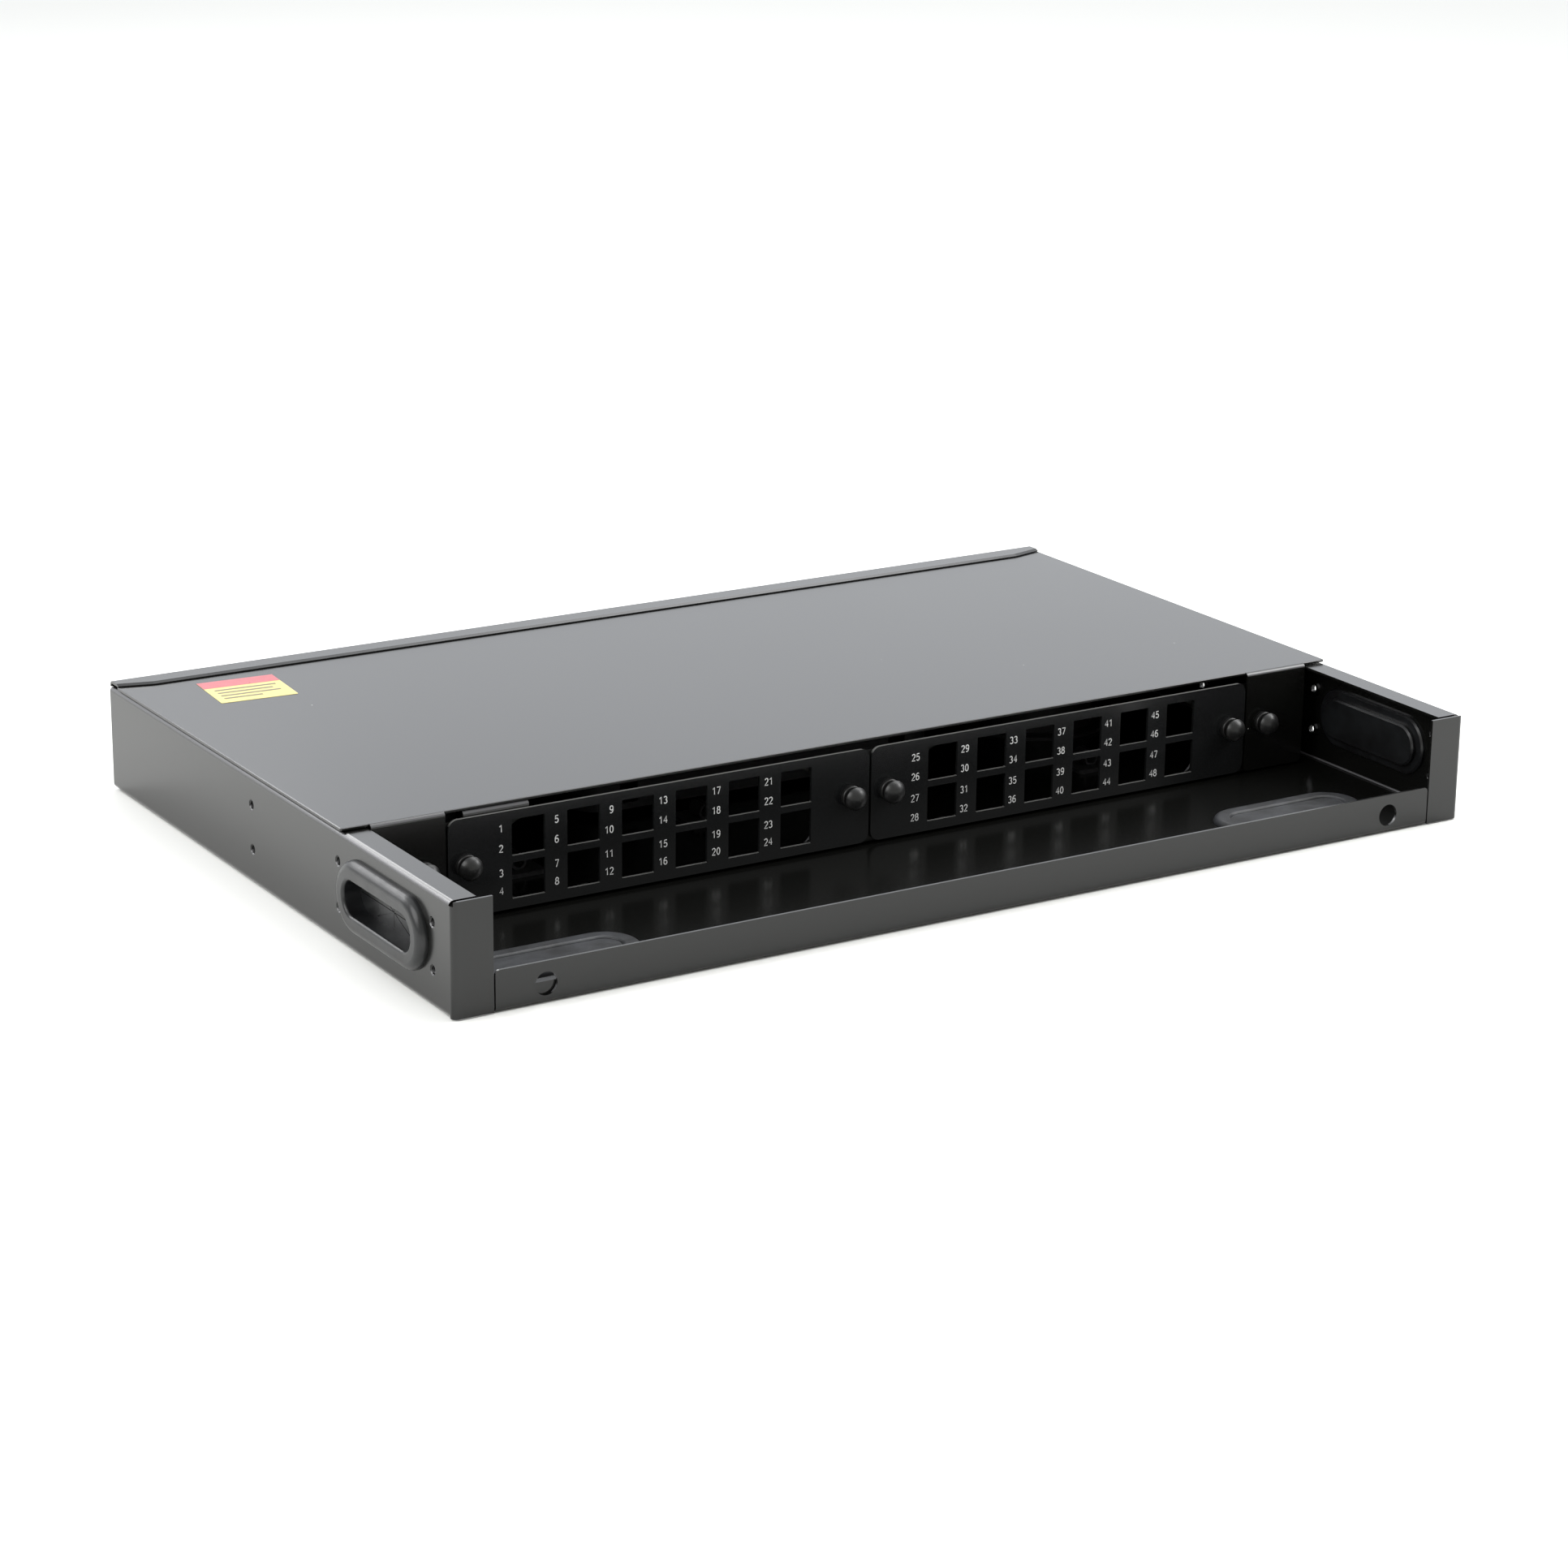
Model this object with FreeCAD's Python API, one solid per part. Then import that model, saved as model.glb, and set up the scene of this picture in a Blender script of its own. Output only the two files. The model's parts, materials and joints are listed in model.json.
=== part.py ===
"""Fibre termination box, one rack unit high, for 48 fibre ports.

Frame: +X to the right seen from the front, +Y to the rear, +Z up. The origin is the bottom
centre of the whole box, rubber rings of the cable entries included. All sizes are in mm.
Depths named *_DEPTH or passed to at_depth() are measured back from the front face.
"""
import FreeCAD, Part
import math
import os

V = FreeCAD.Vector

# ---- driving dimensions of the folded steel housing
WIDTH = 440.0
DEPTH = 295.0
HEIGHT = 44.4
SHEET = 1.0
BEND = 2.0
SEAM = 0.6
NOTCH_Z = 40.3
FLANGE_TOP = 41.9
FLANGE_WIDTH = 10.4
FLANGE_FRONT_DEPTH = 2.6
POST_WIDTH = 15.4
LIP_HEIGHT = 15.0
LIP_BEND = 1.5
LIP_CORNER = 1.6
STRIP_WIDTH = 11.5
STRIP_END_WIDTH = 8.0
STRIP_TAPER = 14.0
STRIP_DROP = 0.6
STRIP_SLOPE = 1.6

# ---- clearance between edges that must not touch, and how far a cutter runs past a face
FIT = 0.2
PAST = 1.0

# ---- cable entries: a stadium is a straight run between two half circles
ENTRY_STRAIGHT = 39.5
ENTRY_HOLE_R = 10.0
ENTRY_MOUTH_R = 6.5
ENTRY_RING_R = 13.5
ENTRY_INNER_R = 12.0
ENTRY_PROUD = 3.6
ENTRY_CREST_R = (7.9, 10.4)
ENTRY_MOUTH_Z = 2.4
ENTRY_FLANGE = 1.6
ENTRY_CHAMFER = 0.7
ENTRY_CUP = 2.0
ENTRY_CUP_R = 8.4
MEMBRANE = 0.8
SLIT = 0.3
SLIT_SKIN = 0.3
SLIT_MARGIN = 1.2
ENTRY_Z = 22.0
SIDE_ENTRY_DEPTH = 51.7
REAR_ENTRY_X = 150.0
FLOOR_ENTRY_X = 163.0
FLOOR_ENTRY_DEPTH = 34.0
FLOOR_RING_HEIGHT = 2.2
FLOOR_CREST_R = (8.2, 11.2)
FLOOR_MOUTH_DROP = 0.7
FLOOR_MEMBRANE = 1.4
FLOOR_RECESS = 0.2
RUBBER_GAP = 0.05

Y_FRONT = -(DEPTH + ENTRY_PROUD) / 2
Y_REAR = Y_FRONT + DEPTH
X_SIDE = WIDTH / 2

# ---- rack-ear holes in each side wall: three columns of two
EAR_HOLE_R = 1.65
EAR_COLLAR_R = 2.7
EAR_COLLAR = 1.2
EAR_COUNTERSINK = 0.4
EAR_COLUMN_DEPTHS = (15.0, 88.3, 161.6)
EAR_ROW_OFFSET = 8.6

# ---- door latch holes in the lip
LATCH_HOLE_R = 4.3
LATCH_HOLE_X = 184.6
LATCH_HOLE_Z = 6.8

# ---- adapter plates and their windows
FACE_DEPTH = 83.9
PLATE_SHEET = 1.2
PLATE_INNER_X = 0.5
PLATE_OUTER_X = 178.9
PLATE_BOTTOM = 2.4
PLATE_TOP = 39.7
PLATE_CORNER = 4.0
WINDOW_W = 13.5
WINDOW_H = 13.8
WINDOW_COLUMNS = 6
WINDOW_PITCH_X = 22.7
WINDOW_PITCH_Z = 16.35
WINDOW_MID_Z = 21.2
WINDOW_MID_X = 89.8
WINDOW_CORNER = 0.4

# ---- top cover with its two front ears
COVER_SHEET = 1.0
COVER_GAP = 0.4
COVER_HALF_X = WIDTH / 2
COVER_REAR_DEPTH = 291.5
COVER_REAR_CUT = 4.2
COVER_CORNER = 0.8
COVER_BEND = 1.6
COVER_EDGE_ROUND = 0.4
EAR_INNER_X = 179.8
EAR_OUTER_X = 208.9
EAR_BOTTOM = 2.3
EAR_CORNER = 2.0
COVER_BOTTOM = FLANGE_TOP + COVER_GAP
COVER_TOP = COVER_BOTTOM + COVER_SHEET
COVER_EDGE_DEPTH = FACE_DEPTH + COVER_BEND

# ---- front frame behind the plates
FRAME_DEPTH = FACE_DEPTH + PLATE_SHEET + 0.1
FRAME_HALF_X = 208.5
FRAME_TOP = COVER_BOTTOM - 0.1
FRAME_WEB_TOP = 38.8
FRAME_TAB_X = (-172.0, -145.5)
FRAME_FOOT = 13.0
FRAME_HEAD = 9.0
FRAME_OPEN_IN_X = 24.0
FRAME_OPEN_OUT_X = 155.3
FRAME_OPEN_Z = (5.0, 35.9)
FRAME_OPEN_CORNER = 8.0
FRAME_HOLE_R = 3.6
RIVET_XS = (-196.0, -118.0, -40.0, 40.0, 118.0, 196.0)
RIVET_DEPTH = FRAME_DEPTH + 8.0
RIVET_R = 1.6
RIVET_HEAD_R = 3.2
RIVET_HEAD = 1.1
RIVET_RECESS = 0.15

# ---- push-pull latches: a split bush and a mushroom plunger
PLUNGER_Z = 21.8
PLATE_PLUNGER_IN_X = 8.6
PLATE_PLUNGER_OUT_X = 171.7
EAR_PLUNGER_X = 188.7
BUSH_HOLE_R = 3.15
BUSH_R = 3.1
BUSH_BORE_R = 2.0
BUSH_FLANGE_R = 4.4
BUSH_FLANGE = 1.6
BUSH_LEGS = 7.6
BUSH_SPLIT_FROM = 3.2
BUSH_SPLIT = 0.8
BUSH_ROUND = 0.6
STEM_R = 1.95
STEM_LENGTH = 8.2
STEM_TIP = 1.0
STEM_CHAMFER = 0.8
COLLAR_R = 2.7
COLLAR_BACK = BUSH_FLANGE + 0.1
KNOB_BACK = 3.3
KNOB_RIM = 4.1
KNOB_TOP = 6.9
KNOB_R = 4.6
KNOB_ROUND = 0.4

# ---- splice trays, stacked on two studs in the middle of the rear chamber
TRAY_X = 164.0
TRAY_Y = 112.0
TRAY_DEPTH = 216.0
TRAY_CORNER = 14.0
TRAY_WALL = 1.2
TRAY_FLOOR = 1.5
TRAY_HEIGHT = 10.5
TRAY_GAP = 0.1
TRAY_LIFT = 3.0
TRAY_BOSS_R = 5.0
TRAY_GUIDE_X = 40.0
TRAY_GUIDE_R = 24.0
TRAY_GUIDE_HEIGHT = 7.5
TRAY_TAB_XS = (-50.0, -17.0, 17.0, 50.0)
TRAY_TAB = 8.0
TRAY_TAB_THICK = 1.0
TRAY_NOTCH = 8.0
TRAY_NOTCH_INSET = 20.0
TRAY_NOTCH_SILL = 2.5
LID_SHEET = 1.5
LID_INSET = 0.4
LID_GRIP_R = 6.0
LOWER_TRAY_Z = SHEET + TRAY_LIFT
UPPER_TRAY_Z = LOWER_TRAY_Z + TRAY_HEIGHT + TRAY_GAP
LID_Z = UPPER_TRAY_Z + TRAY_HEIGHT + TRAY_GAP
COMB_X = 24.0
COMB_Y = 40.0
COMB_HEIGHT = 5.0
COMB_SLOTS = 6
COMB_PITCH = 6.0
COMB_SLOT = 3.2
COMB_SILL = 1.6

# ---- studs, sleeves and thumb nuts of the trays
STUD_X = 70.0
STUD_R = 2.0
STUD_FIT = 0.02
STUD_HOLE_R = 2.1
STUD_CHAMFER = 0.6
STUD_ABOVE_LID = 8.5
SLEEVE_R = 4.5
NUT_NECK_R = 3.6
NUT_NECK = 2.0
NUT_R = 6.0
NUT_HEIGHT = 6.2
NUT_GROOVES = 12
NUT_GROOVE_R = 0.7

# ---- fibre slack spools beside the trays
SPOOL_X = 150.0
SPOOL_DEPTH = 190.0
SPOOL_BASE_R = 32.0
SPOOL_BASE = 1.4
SPOOL_HUB_R = 25.0
SPOOL_WALL = 1.6
SPOOL_HEIGHT = 15.0
SPOOL_BOSS_R = 5.0
SPOOL_BOSS = 4.0
SPOOL_TAB_WIDTH = 12.0
SPOOL_SCREW_HEAD = (3.4, 2.2)

# ---- cable clamps in front of the rear entries
CLAMP_DEPTH = 264.0
CLAMP_X_HALF = 20.0
CLAMP_Y_HALF = 7.0
CLAMP_HEIGHT = 9.0
CLAMP_TROUGH_R = 9.0
CLAMP_TROUGH_Z = 12.5
CLAMP_SCREW_X = 15.0
CLAMP_SCREW_HEAD = (3.0, 2.0)
BAR_GAP = 0.1
BAR_SHEET = 1.5
BAR_Y_HALF = 5.0
BAR_ARCH_R = 10.2
BAR_ARCH_RISE = 1.4
SCREW_SLOT = 0.7
SCREW_FIT = 0.05

# ---- fibre clips on the floor: where they stand, as x and depth
CLIP_SPOTS = ((-131.0, 125.0), (131.0, 125.0), (-40.0, 142.0), (40.0, 142.0))
CLIP_PAD = 18.0
CLIP_PAD_HEIGHT = 1.6
CLIP_PAD_CORNER = 2.0
CLIP_R = 3.2
CLIP_BORE_R = 2.3
CLIP_LENGTH = 8.0
CLIP_MOUTH = 1.4
CLIP_SINK = 0.4

# ---- rear wall fittings
PLUG_X = 88.0
PLUG_HOLE_R = 10.2
PLUG_FLANGE_R = 12.4
PLUG_FLANGE = 1.8
PLUG_CHAMFER = 1.0
PLUG_SKIRT = 5.0
PLUG_SKIRT_WALL = 1.5
PLUG_FIT = 0.1
EARTH_X = 203.0
EARTH_Z = 14.0
EARTH_R = 2.5
EARTH_REACH = 3.4
EARTH_CHAMFER = 0.4
EARTH_HEAD_R = 4.0
EARTH_HEAD = 1.5
EARTH_WASHER_R = 5.0
EARTH_WASHER = 0.6
EARTH_NUT_R = 4.6
EARTH_NUT = 2.2

# ---- keeper tongue behind the left latch hole
KEEPER_DEPTH = 1.3
KEEPER_SHEET = 0.8
KEEPER_BEND = 1.2
KEEPER_HALF = 7.0
KEEPER_FOOT = 12.0
KEEPER_HEIGHT = 6.2
KEEPER_HOOK = 3.4
KEEPER_RIVET_DEPTH = 9.0

# ---- small sticker on the cover
LABEL_X = -176.7
LABEL_DEPTH = 260.7
LABEL_W = 31.5
LABEL_L = 29.6
LABEL_THICK = 0.1
LABEL_CORNER = 0.6
LABEL_TURN = -4.2


# ------------------------------------------------------------------ basic shapes
def at_depth(depth):
    """Row-frame Y of a point this far behind the front face."""
    return Y_FRONT + depth


def block(x0, x1, y0, y1, z0, z1):
    """Rectangular block between two corners."""
    return Part.makeBox(x1 - x0, y1 - y0, z1 - z0, V(x0, y0, z0))


def rod(start, direction, radius, length):
    """Round rod from a start point along a direction."""
    return Part.makeCylinder(radius, length, V(*start), V(*direction))


def outline(corners):
    """Closed wire in the XY plane. Each corner is (x, y, radius)."""
    count = len(corners)
    starts, arcs, ends = [], [], []
    for index, (x, y, radius) in enumerate(corners):
        here = V(x, y, 0)
        back = V(corners[index - 1][0], corners[index - 1][1], 0) - here
        ahead = V(corners[(index + 1) % count][0], corners[(index + 1) % count][1], 0) - here
        back.normalize()
        ahead.normalize()
        if radius <= 0:
            starts.append(here)
            ends.append(here)
            arcs.append(None)
            continue
        half = back.getAngle(ahead) / 2
        reach = radius / math.tan(half)
        inward = back + ahead
        inward.normalize()
        start = here + back * reach
        end = here + ahead * reach
        middle = here + inward * (radius / math.sin(half) - radius)
        starts.append(start)
        ends.append(end)
        arcs.append(Part.Arc(start, middle, end).toShape())
    edges = []
    for index in range(count):
        if arcs[index]:
            edges.append(arcs[index])
        following = starts[(index + 1) % count]
        if ends[index].distanceToPoint(following) > 1e-6:
            edges.append(Part.LineSegment(ends[index], following).toShape())
    return Part.Wire(edges)


def prism(corners, height):
    """Solid with the outline's section, from z = 0 up to the height."""
    return Part.Face(outline(corners)).extrude(V(0, 0, height))


def rounded_block(x0, x1, y0, y1, z0, z1, radius):
    """Block whose four upright edges are rounded."""
    corners = [(x0, y0, radius), (x1, y0, radius), (x1, y1, radius), (x0, y1, radius)]
    return moved(prism(corners, z1 - z0), (0, 0, z0))


def upright_plate(x0, x1, z0, z1, y0, thickness, radius):
    """Plate that stands across Y, with rounded corners."""
    corners = [(x0, z0, radius), (x1, z0, radius), (x1, z1, radius), (x0, z1, radius)]
    plate = prism(corners, thickness)
    return stand_up(plate, y0 + thickness)


def moved(shape, offset):
    """Copy of a shape shifted by an offset."""
    result = shape.copy()
    result.translate(V(*offset))
    return result


def turned(shape, axis, degrees, centre=(0, 0, 0)):
    """Copy of a shape turned about an axis through a centre."""
    result = shape.copy()
    result.rotate(V(*centre), V(*axis), degrees)
    return result


def stand_up(shape, y_far):
    """Turn a shape drawn in XY and raised in Z so that it stands in XZ, ending at y_far."""
    return moved(turned(shape, (1, 0, 0), 90), (0, y_far, 0))


def cut_all(shape, tools):
    """Remove several tools from a shape."""
    return shape.cut(Part.makeCompound(tools)) if tools else shape


def fuse_all(shapes):
    """Join shapes into one solid and merge the faces that lie in one plane."""
    result = shapes[0].multiFuse(shapes[1:])
    return result.removeSplitter()


def spun(points, arcs=()):
    """Solid of revolution about Z. Points are (r, z); arcs maps a point index to the middle
    point of an arc that runs from that point to the next one."""
    middles = dict(arcs)
    edges = []
    for index, (radius, height) in enumerate(points):
        start = V(radius, 0, height)
        after = points[(index + 1) % len(points)]
        end = V(after[0], 0, after[1])
        if index in middles:
            middle = V(middles[index][0], 0, middles[index][1])
            edges.append(Part.Arc(start, middle, end).toShape())
        else:
            edges.append(Part.LineSegment(start, end).toShape())
    return Part.Face(Part.Wire(edges)).revolve(V(0, 0, 0), V(0, 0, 1), 360)


def cap_middle(radius, low, high):
    """Point halfway along the arc of a spherical cap from its rim to its top."""
    rise = high - low
    ball = (radius * radius + rise * rise) / (2 * rise)
    angle = math.asin(radius / ball) / 2
    return (ball * math.sin(angle), high - ball + ball * math.cos(angle))


def bulge(low, high):
    """Middle point of a quarter-round between two (r, z) points, upright at the low one."""
    rise = math.sqrt(0.5)
    return (low[0] + (high[0] - low[0]) * (1 - rise), low[1] + (high[1] - low[1]) * rise)


def forwards(shape, x, depth, z):
    """Place a shape drawn about Z so that its +Z points to the front (-Y)."""
    return moved(turned(shape, (1, 0, 0), 90), (x, at_depth(depth), z))


# ------------------------------------------------------------------ stadium shapes
def stadium_prism(radius, low, high):
    """Stadium section with its long way along X, from z = low to z = high."""
    half = ENTRY_STRAIGHT / 2
    parts = [
        Part.makeBox(2 * half, 2 * radius, high - low, V(-half, -radius, low)),
        Part.makeCylinder(radius, high - low, V(-half, 0, low)),
        Part.makeCylinder(radius, high - low, V(half, 0, low)),
    ]
    return fuse_all(parts)


def stadium_ring(points, arcs=()):
    """Ring round a stadium. Points are (distance from the spine, height)."""
    half = ENTRY_STRAIGHT / 2
    middles = dict(arcs)
    edges = []
    for index, (radius, height) in enumerate(points):
        start = V(0, radius, height)
        after = points[(index + 1) % len(points)]
        end = V(0, after[0], after[1])
        if index in middles:
            middle = V(0, middles[index][0], middles[index][1])
            edges.append(Part.Arc(start, middle, end).toShape())
        else:
            edges.append(Part.LineSegment(start, end).toShape())
    section = Part.Face(Part.Wire(edges))
    near = moved(section, (-half, 0, 0)).extrude(V(2 * half, 0, 0))
    far = turned(near, (0, 0, 1), 180)
    right = moved(section, (half, 0, 0)).revolve(V(half, 0, 0), V(0, 0, -1), 180)
    left = turned(right, (0, 0, 1), 180)
    return fuse_all([near, far, right, left])


def slit_cutters(low, high):
    """Eight thin cutters that run from the middle of a membrane towards its edge."""
    half = ENTRY_STRAIGHT / 2
    across = ENTRY_MOUTH_R - SLIT_MARGIN
    targets = [(half + across, 0), (-half - across, 0), (0, across), (0, -across)]
    for side_x in (-1, 1):
        for side_y in (-1, 1):
            targets.append((side_x * half * 2 / 3, side_y * across))
    cutters = []
    for x, y in targets:
        blade = Part.makeBox(math.hypot(x, y), SLIT, high - low, V(0, -SLIT / 2, low))
        cutters.append(turned(blade, (0, 0, 1), math.degrees(math.atan2(y, x))))
    return cutters


def wall_grommet():
    """Rubber grommet for a wall entry: +Z is outward, z = 0 is the wall's outer face."""
    back = -SHEET - ENTRY_FLANGE
    cup = back - ENTRY_CUP
    neck = ENTRY_HOLE_R - RUBBER_GAP
    crest_in, crest_out = ENTRY_CREST_R
    points = [
        (ENTRY_RING_R, 0), (crest_out, ENTRY_PROUD), (crest_in, ENTRY_PROUD),
        (ENTRY_MOUTH_R, ENTRY_MOUTH_Z), (ENTRY_MOUTH_R, cup), (ENTRY_CUP_R - ENTRY_CHAMFER, cup),
        (ENTRY_CUP_R, cup + ENTRY_CHAMFER), (ENTRY_CUP_R, back), (ENTRY_INNER_R - ENTRY_CHAMFER, back),
        (ENTRY_INNER_R, back + ENTRY_CHAMFER), (ENTRY_INNER_R, -SHEET), (neck, -SHEET), (neck, 0),
    ]
    arcs = {0: bulge(points[0], points[1]), 2: bulge(points[3], points[2])}
    ring = stadium_ring(points, arcs)
    membrane = stadium_prism(ENTRY_MOUTH_R + MEMBRANE, cup, cup + MEMBRANE)
    body = fuse_all([ring, membrane])
    return cut_all(body, slit_cutters(cup + SLIT_SKIN, cup + MEMBRANE + PAST))


def floor_grommet(x):
    """Rubber pad over a hole in the tray floor, flush underneath, where its membrane is scored."""
    neck = ENTRY_HOLE_R - RUBBER_GAP
    top = SHEET + FLOOR_RING_HEIGHT
    crest_in, crest_out = FLOOR_CREST_R
    points = [
        (ENTRY_RING_R, SHEET), (crest_out, top), (crest_in, top), (ENTRY_MOUTH_R, top - FLOOR_MOUTH_DROP),
        (ENTRY_MOUTH_R, FLOOR_RECESS), (neck, FLOOR_RECESS), (neck, SHEET),
    ]
    arcs = {0: bulge(points[0], points[1]), 2: bulge(points[3], points[2])}
    ring = stadium_ring(points, arcs)
    skin = SHEET + FLOOR_MEMBRANE
    membrane = stadium_prism(ENTRY_MOUTH_R + MEMBRANE, SHEET, skin)
    body = cut_all(fuse_all([ring, membrane]), slit_cutters(SHEET - PAST, skin - SLIT_SKIN))
    return moved(body, (x, at_depth(FLOOR_ENTRY_DEPTH), 0))


def on_side_wall(shape, side):
    """Place a wall shape on the left (-1) or right (+1) side wall."""
    outward = turned(turned(shape, (0, 0, 1), 90), (0, 1, 0), 90 * side)
    return moved(outward, (side * X_SIDE, at_depth(SIDE_ENTRY_DEPTH), ENTRY_Z))


def on_rear_wall(shape, x):
    """Place a wall shape on the rear wall, facing backwards."""
    return moved(turned(shape, (1, 0, 0), -90), (x, Y_REAR, ENTRY_Z))


# ------------------------------------------------------------------ folded housing
# The housing is divided along its bend lines into a floor, a lip, two side walls and a rear wall.
def corner_notches(side):
    """Bend reliefs between a front post and the top flange behind it."""
    bend_x = side * (X_SIDE - BEND)
    end = at_depth(FLANGE_FRONT_DEPTH)
    outer = sorted((bend_x, side * (X_SIDE + PAST)))
    inner = sorted((bend_x, side * (X_SIDE - FLANGE_WIDTH - PAST)))
    return [
        block(*outer, at_depth(SHEET / 2), end, NOTCH_Z, HEIGHT),
        block(*inner, at_depth(SHEET + SEAM / 10), end, NOTCH_Z, HEIGHT),
    ]


def front_post(side):
    """Post folded inwards from a side wall's front edge."""
    inner = BEND - SHEET
    root = BEND + PAST / 2
    section = [
        (X_SIDE, root, 0), (X_SIDE, 0, BEND), (X_SIDE - POST_WIDTH, 0, 0),
        (X_SIDE - POST_WIDTH, SHEET, 0), (X_SIDE - SHEET, SHEET, inner), (X_SIDE - SHEET, root, 0),
    ]
    corners = [(side * x, Y_FRONT + y, radius) for x, y, radius in section]
    return prism(corners, FLANGE_TOP)


def side_sheet(side):
    """Bottom bend, wall and inward top flange, as one folded section."""
    inner = BEND - SHEET
    edge = X_SIDE - FLANGE_WIDTH
    under = FLANGE_TOP - SHEET
    section = [
        (X_SIDE - BEND, 0, 0), (X_SIDE, 0, BEND), (X_SIDE, FLANGE_TOP, BEND), (edge, FLANGE_TOP, 0),
        (edge, under, 0), (X_SIDE - SHEET, under, inner), (X_SIDE - SHEET, SHEET, inner),
        (X_SIDE - BEND, SHEET, 0),
    ]
    corners = [(side * x, z, radius) for x, z, radius in section]
    body = stand_up(prism(corners, DEPTH - BEND), Y_REAR)
    low, high = sorted((side * (X_SIDE - SHEET), side * (edge - PAST)))
    return body.cut(block(low, high, Y_REAR - BEND, Y_REAR + PAST, -PAST, HEIGHT))


def ear_hole_spots():
    """Y and z of each rack-ear hole in a side wall."""
    return [(at_depth(depth), ENTRY_Z + offset)
            for depth in EAR_COLUMN_DEPTHS for offset in (-EAR_ROW_OFFSET, EAR_ROW_OFFSET)]


def side_wall(side):
    """Side wall with its post, its cable entry and collars drawn inwards round the ear holes."""
    inward = (-side, 0, 0)
    adds = [side_sheet(side), front_post(side)]
    cuts = corner_notches(side)
    for y, z in ear_hole_spots():
        middle = (side * (X_SIDE - SHEET / 2), y, z)
        adds.append(rod(middle, inward, EAR_COLLAR_R, SHEET / 2 + EAR_COLLAR))
        outside = (side * (X_SIDE + PAST), y, z)
        cuts.append(rod(outside, inward, EAR_HOLE_R, SHEET + EAR_COLLAR + 2 * PAST))
        mouth = V(side * (X_SIDE + PAST - EAR_COUNTERSINK), y, z)
        cuts.append(Part.makeCone(EAR_HOLE_R + PAST, EAR_HOLE_R, PAST, mouth, V(*inward)))
    cuts.append(on_side_wall(stadium_prism(ENTRY_HOLE_R, -SHEET - PAST, PAST), side))
    return cut_all(fuse_all(adds), cuts)


def front_lip():
    """Lip folded up from the floor's front edge, with two latch holes."""
    half = X_SIDE - POST_WIDTH - SEAM
    inner = LIP_BEND - SHEET
    section = [
        (0, LIP_HEIGHT, 0), (0, 0, LIP_BEND), (BEND, 0, 0), (BEND, SHEET, 0),
        (SHEET, SHEET, inner), (SHEET, LIP_HEIGHT, 0),
    ]
    body = turned(turned(prism(section, 2 * half), (1, 0, 0), 90), (0, 0, 1), 90)
    body = moved(body, (-half, Y_FRONT, 0))
    corners = [
        (-half, -PAST, 0), (half, -PAST, 0), (half, LIP_HEIGHT, LIP_CORNER),
        (-half, LIP_HEIGHT, LIP_CORNER),
    ]
    envelope = stand_up(prism(corners, 2 * (BEND + PAST)), Y_FRONT + BEND + PAST)
    holes = []
    for side in (-1, 1):
        start = (side * LATCH_HOLE_X, Y_FRONT - PAST, LATCH_HOLE_Z)
        holes.append(rod(start, (0, 1, 0), LATCH_HOLE_R, SHEET + 2 * PAST))
    return cut_all(body.common(envelope), holes)


def floor_hole_spots():
    """Centre and radius of each round hole in the floor."""
    spots = [(x, at_depth(RIVET_DEPTH), RIVET_R) for x in RIVET_XS]
    for side in (-1, 1):
        spots.append((side * STUD_X, at_depth(TRAY_DEPTH), STUD_R + STUD_FIT))
        spots.append((side * SPOOL_X, at_depth(SPOOL_DEPTH), RIVET_R))
        for screw in (-CLAMP_SCREW_X, CLAMP_SCREW_X):
            spots.append((side * REAR_ENTRY_X + screw, at_depth(CLAMP_DEPTH), RIVET_R))
    spots.append((-LATCH_HOLE_X, at_depth(KEEPER_RIVET_DEPTH), RIVET_R))
    return spots


def floor_pan():
    """Floor with its round holes and the two floor entries."""
    half = X_SIDE - BEND
    sheet = block(-half, half, Y_FRONT + BEND, Y_REAR - BEND, 0, SHEET)
    cuts = [rod((x, y, -PAST), (0, 0, 1), radius, SHEET + 2 * PAST) for x, y, radius in floor_hole_spots()]
    opening = stadium_prism(ENTRY_HOLE_R, -PAST, SHEET + PAST)
    for side in (-1, 1):
        cuts.append(moved(opening, (side * FLOOR_ENTRY_X, at_depth(FLOOR_ENTRY_DEPTH), 0)))
    return cut_all(sheet, cuts)


def strip_end_cutter(side):
    """Cutter that tapers one end of the top strip."""
    front = Y_REAR - STRIP_WIDTH
    end = X_SIDE - FIT
    wedge = [
        (side * (X_SIDE + PAST), front - PAST, 0),
        (side * (X_SIDE - STRIP_TAPER), front - PAST, 0),
        (side * (X_SIDE - STRIP_TAPER), front, 0),
        (side * end, Y_REAR - STRIP_END_WIDTH, 0),
        (side * end, Y_REAR + PAST, 0),
        (side * (X_SIDE + PAST), Y_REAR + PAST, 0),
    ]
    return moved(prism(wedge, HEIGHT), (0, 0, FLANGE_TOP))


def strip_bevel(start, end):
    """Cutter that slopes the strip's top down towards one straight run of its front edge."""
    slope = STRIP_DROP / STRIP_SLOPE
    over = STRIP_TAPER / 2
    section = [
        (-PAST, HEIGHT - STRIP_DROP - PAST * slope, 0), (STRIP_SLOPE + PAST, HEIGHT + PAST * slope, 0),
        (-PAST, HEIGHT + PAST * slope, 0),
    ]
    run = math.dist(start, end)
    body = turned(turned(prism(section, run + 2 * over), (1, 0, 0), 90), (0, 0, 1), 90)
    heading = math.degrees(math.atan2(end[1] - start[1], end[0] - start[0]))
    return moved(turned(moved(body, (-over, 0, 0)), (0, 0, 1), heading), (start[0], start[1], 0))


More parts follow.
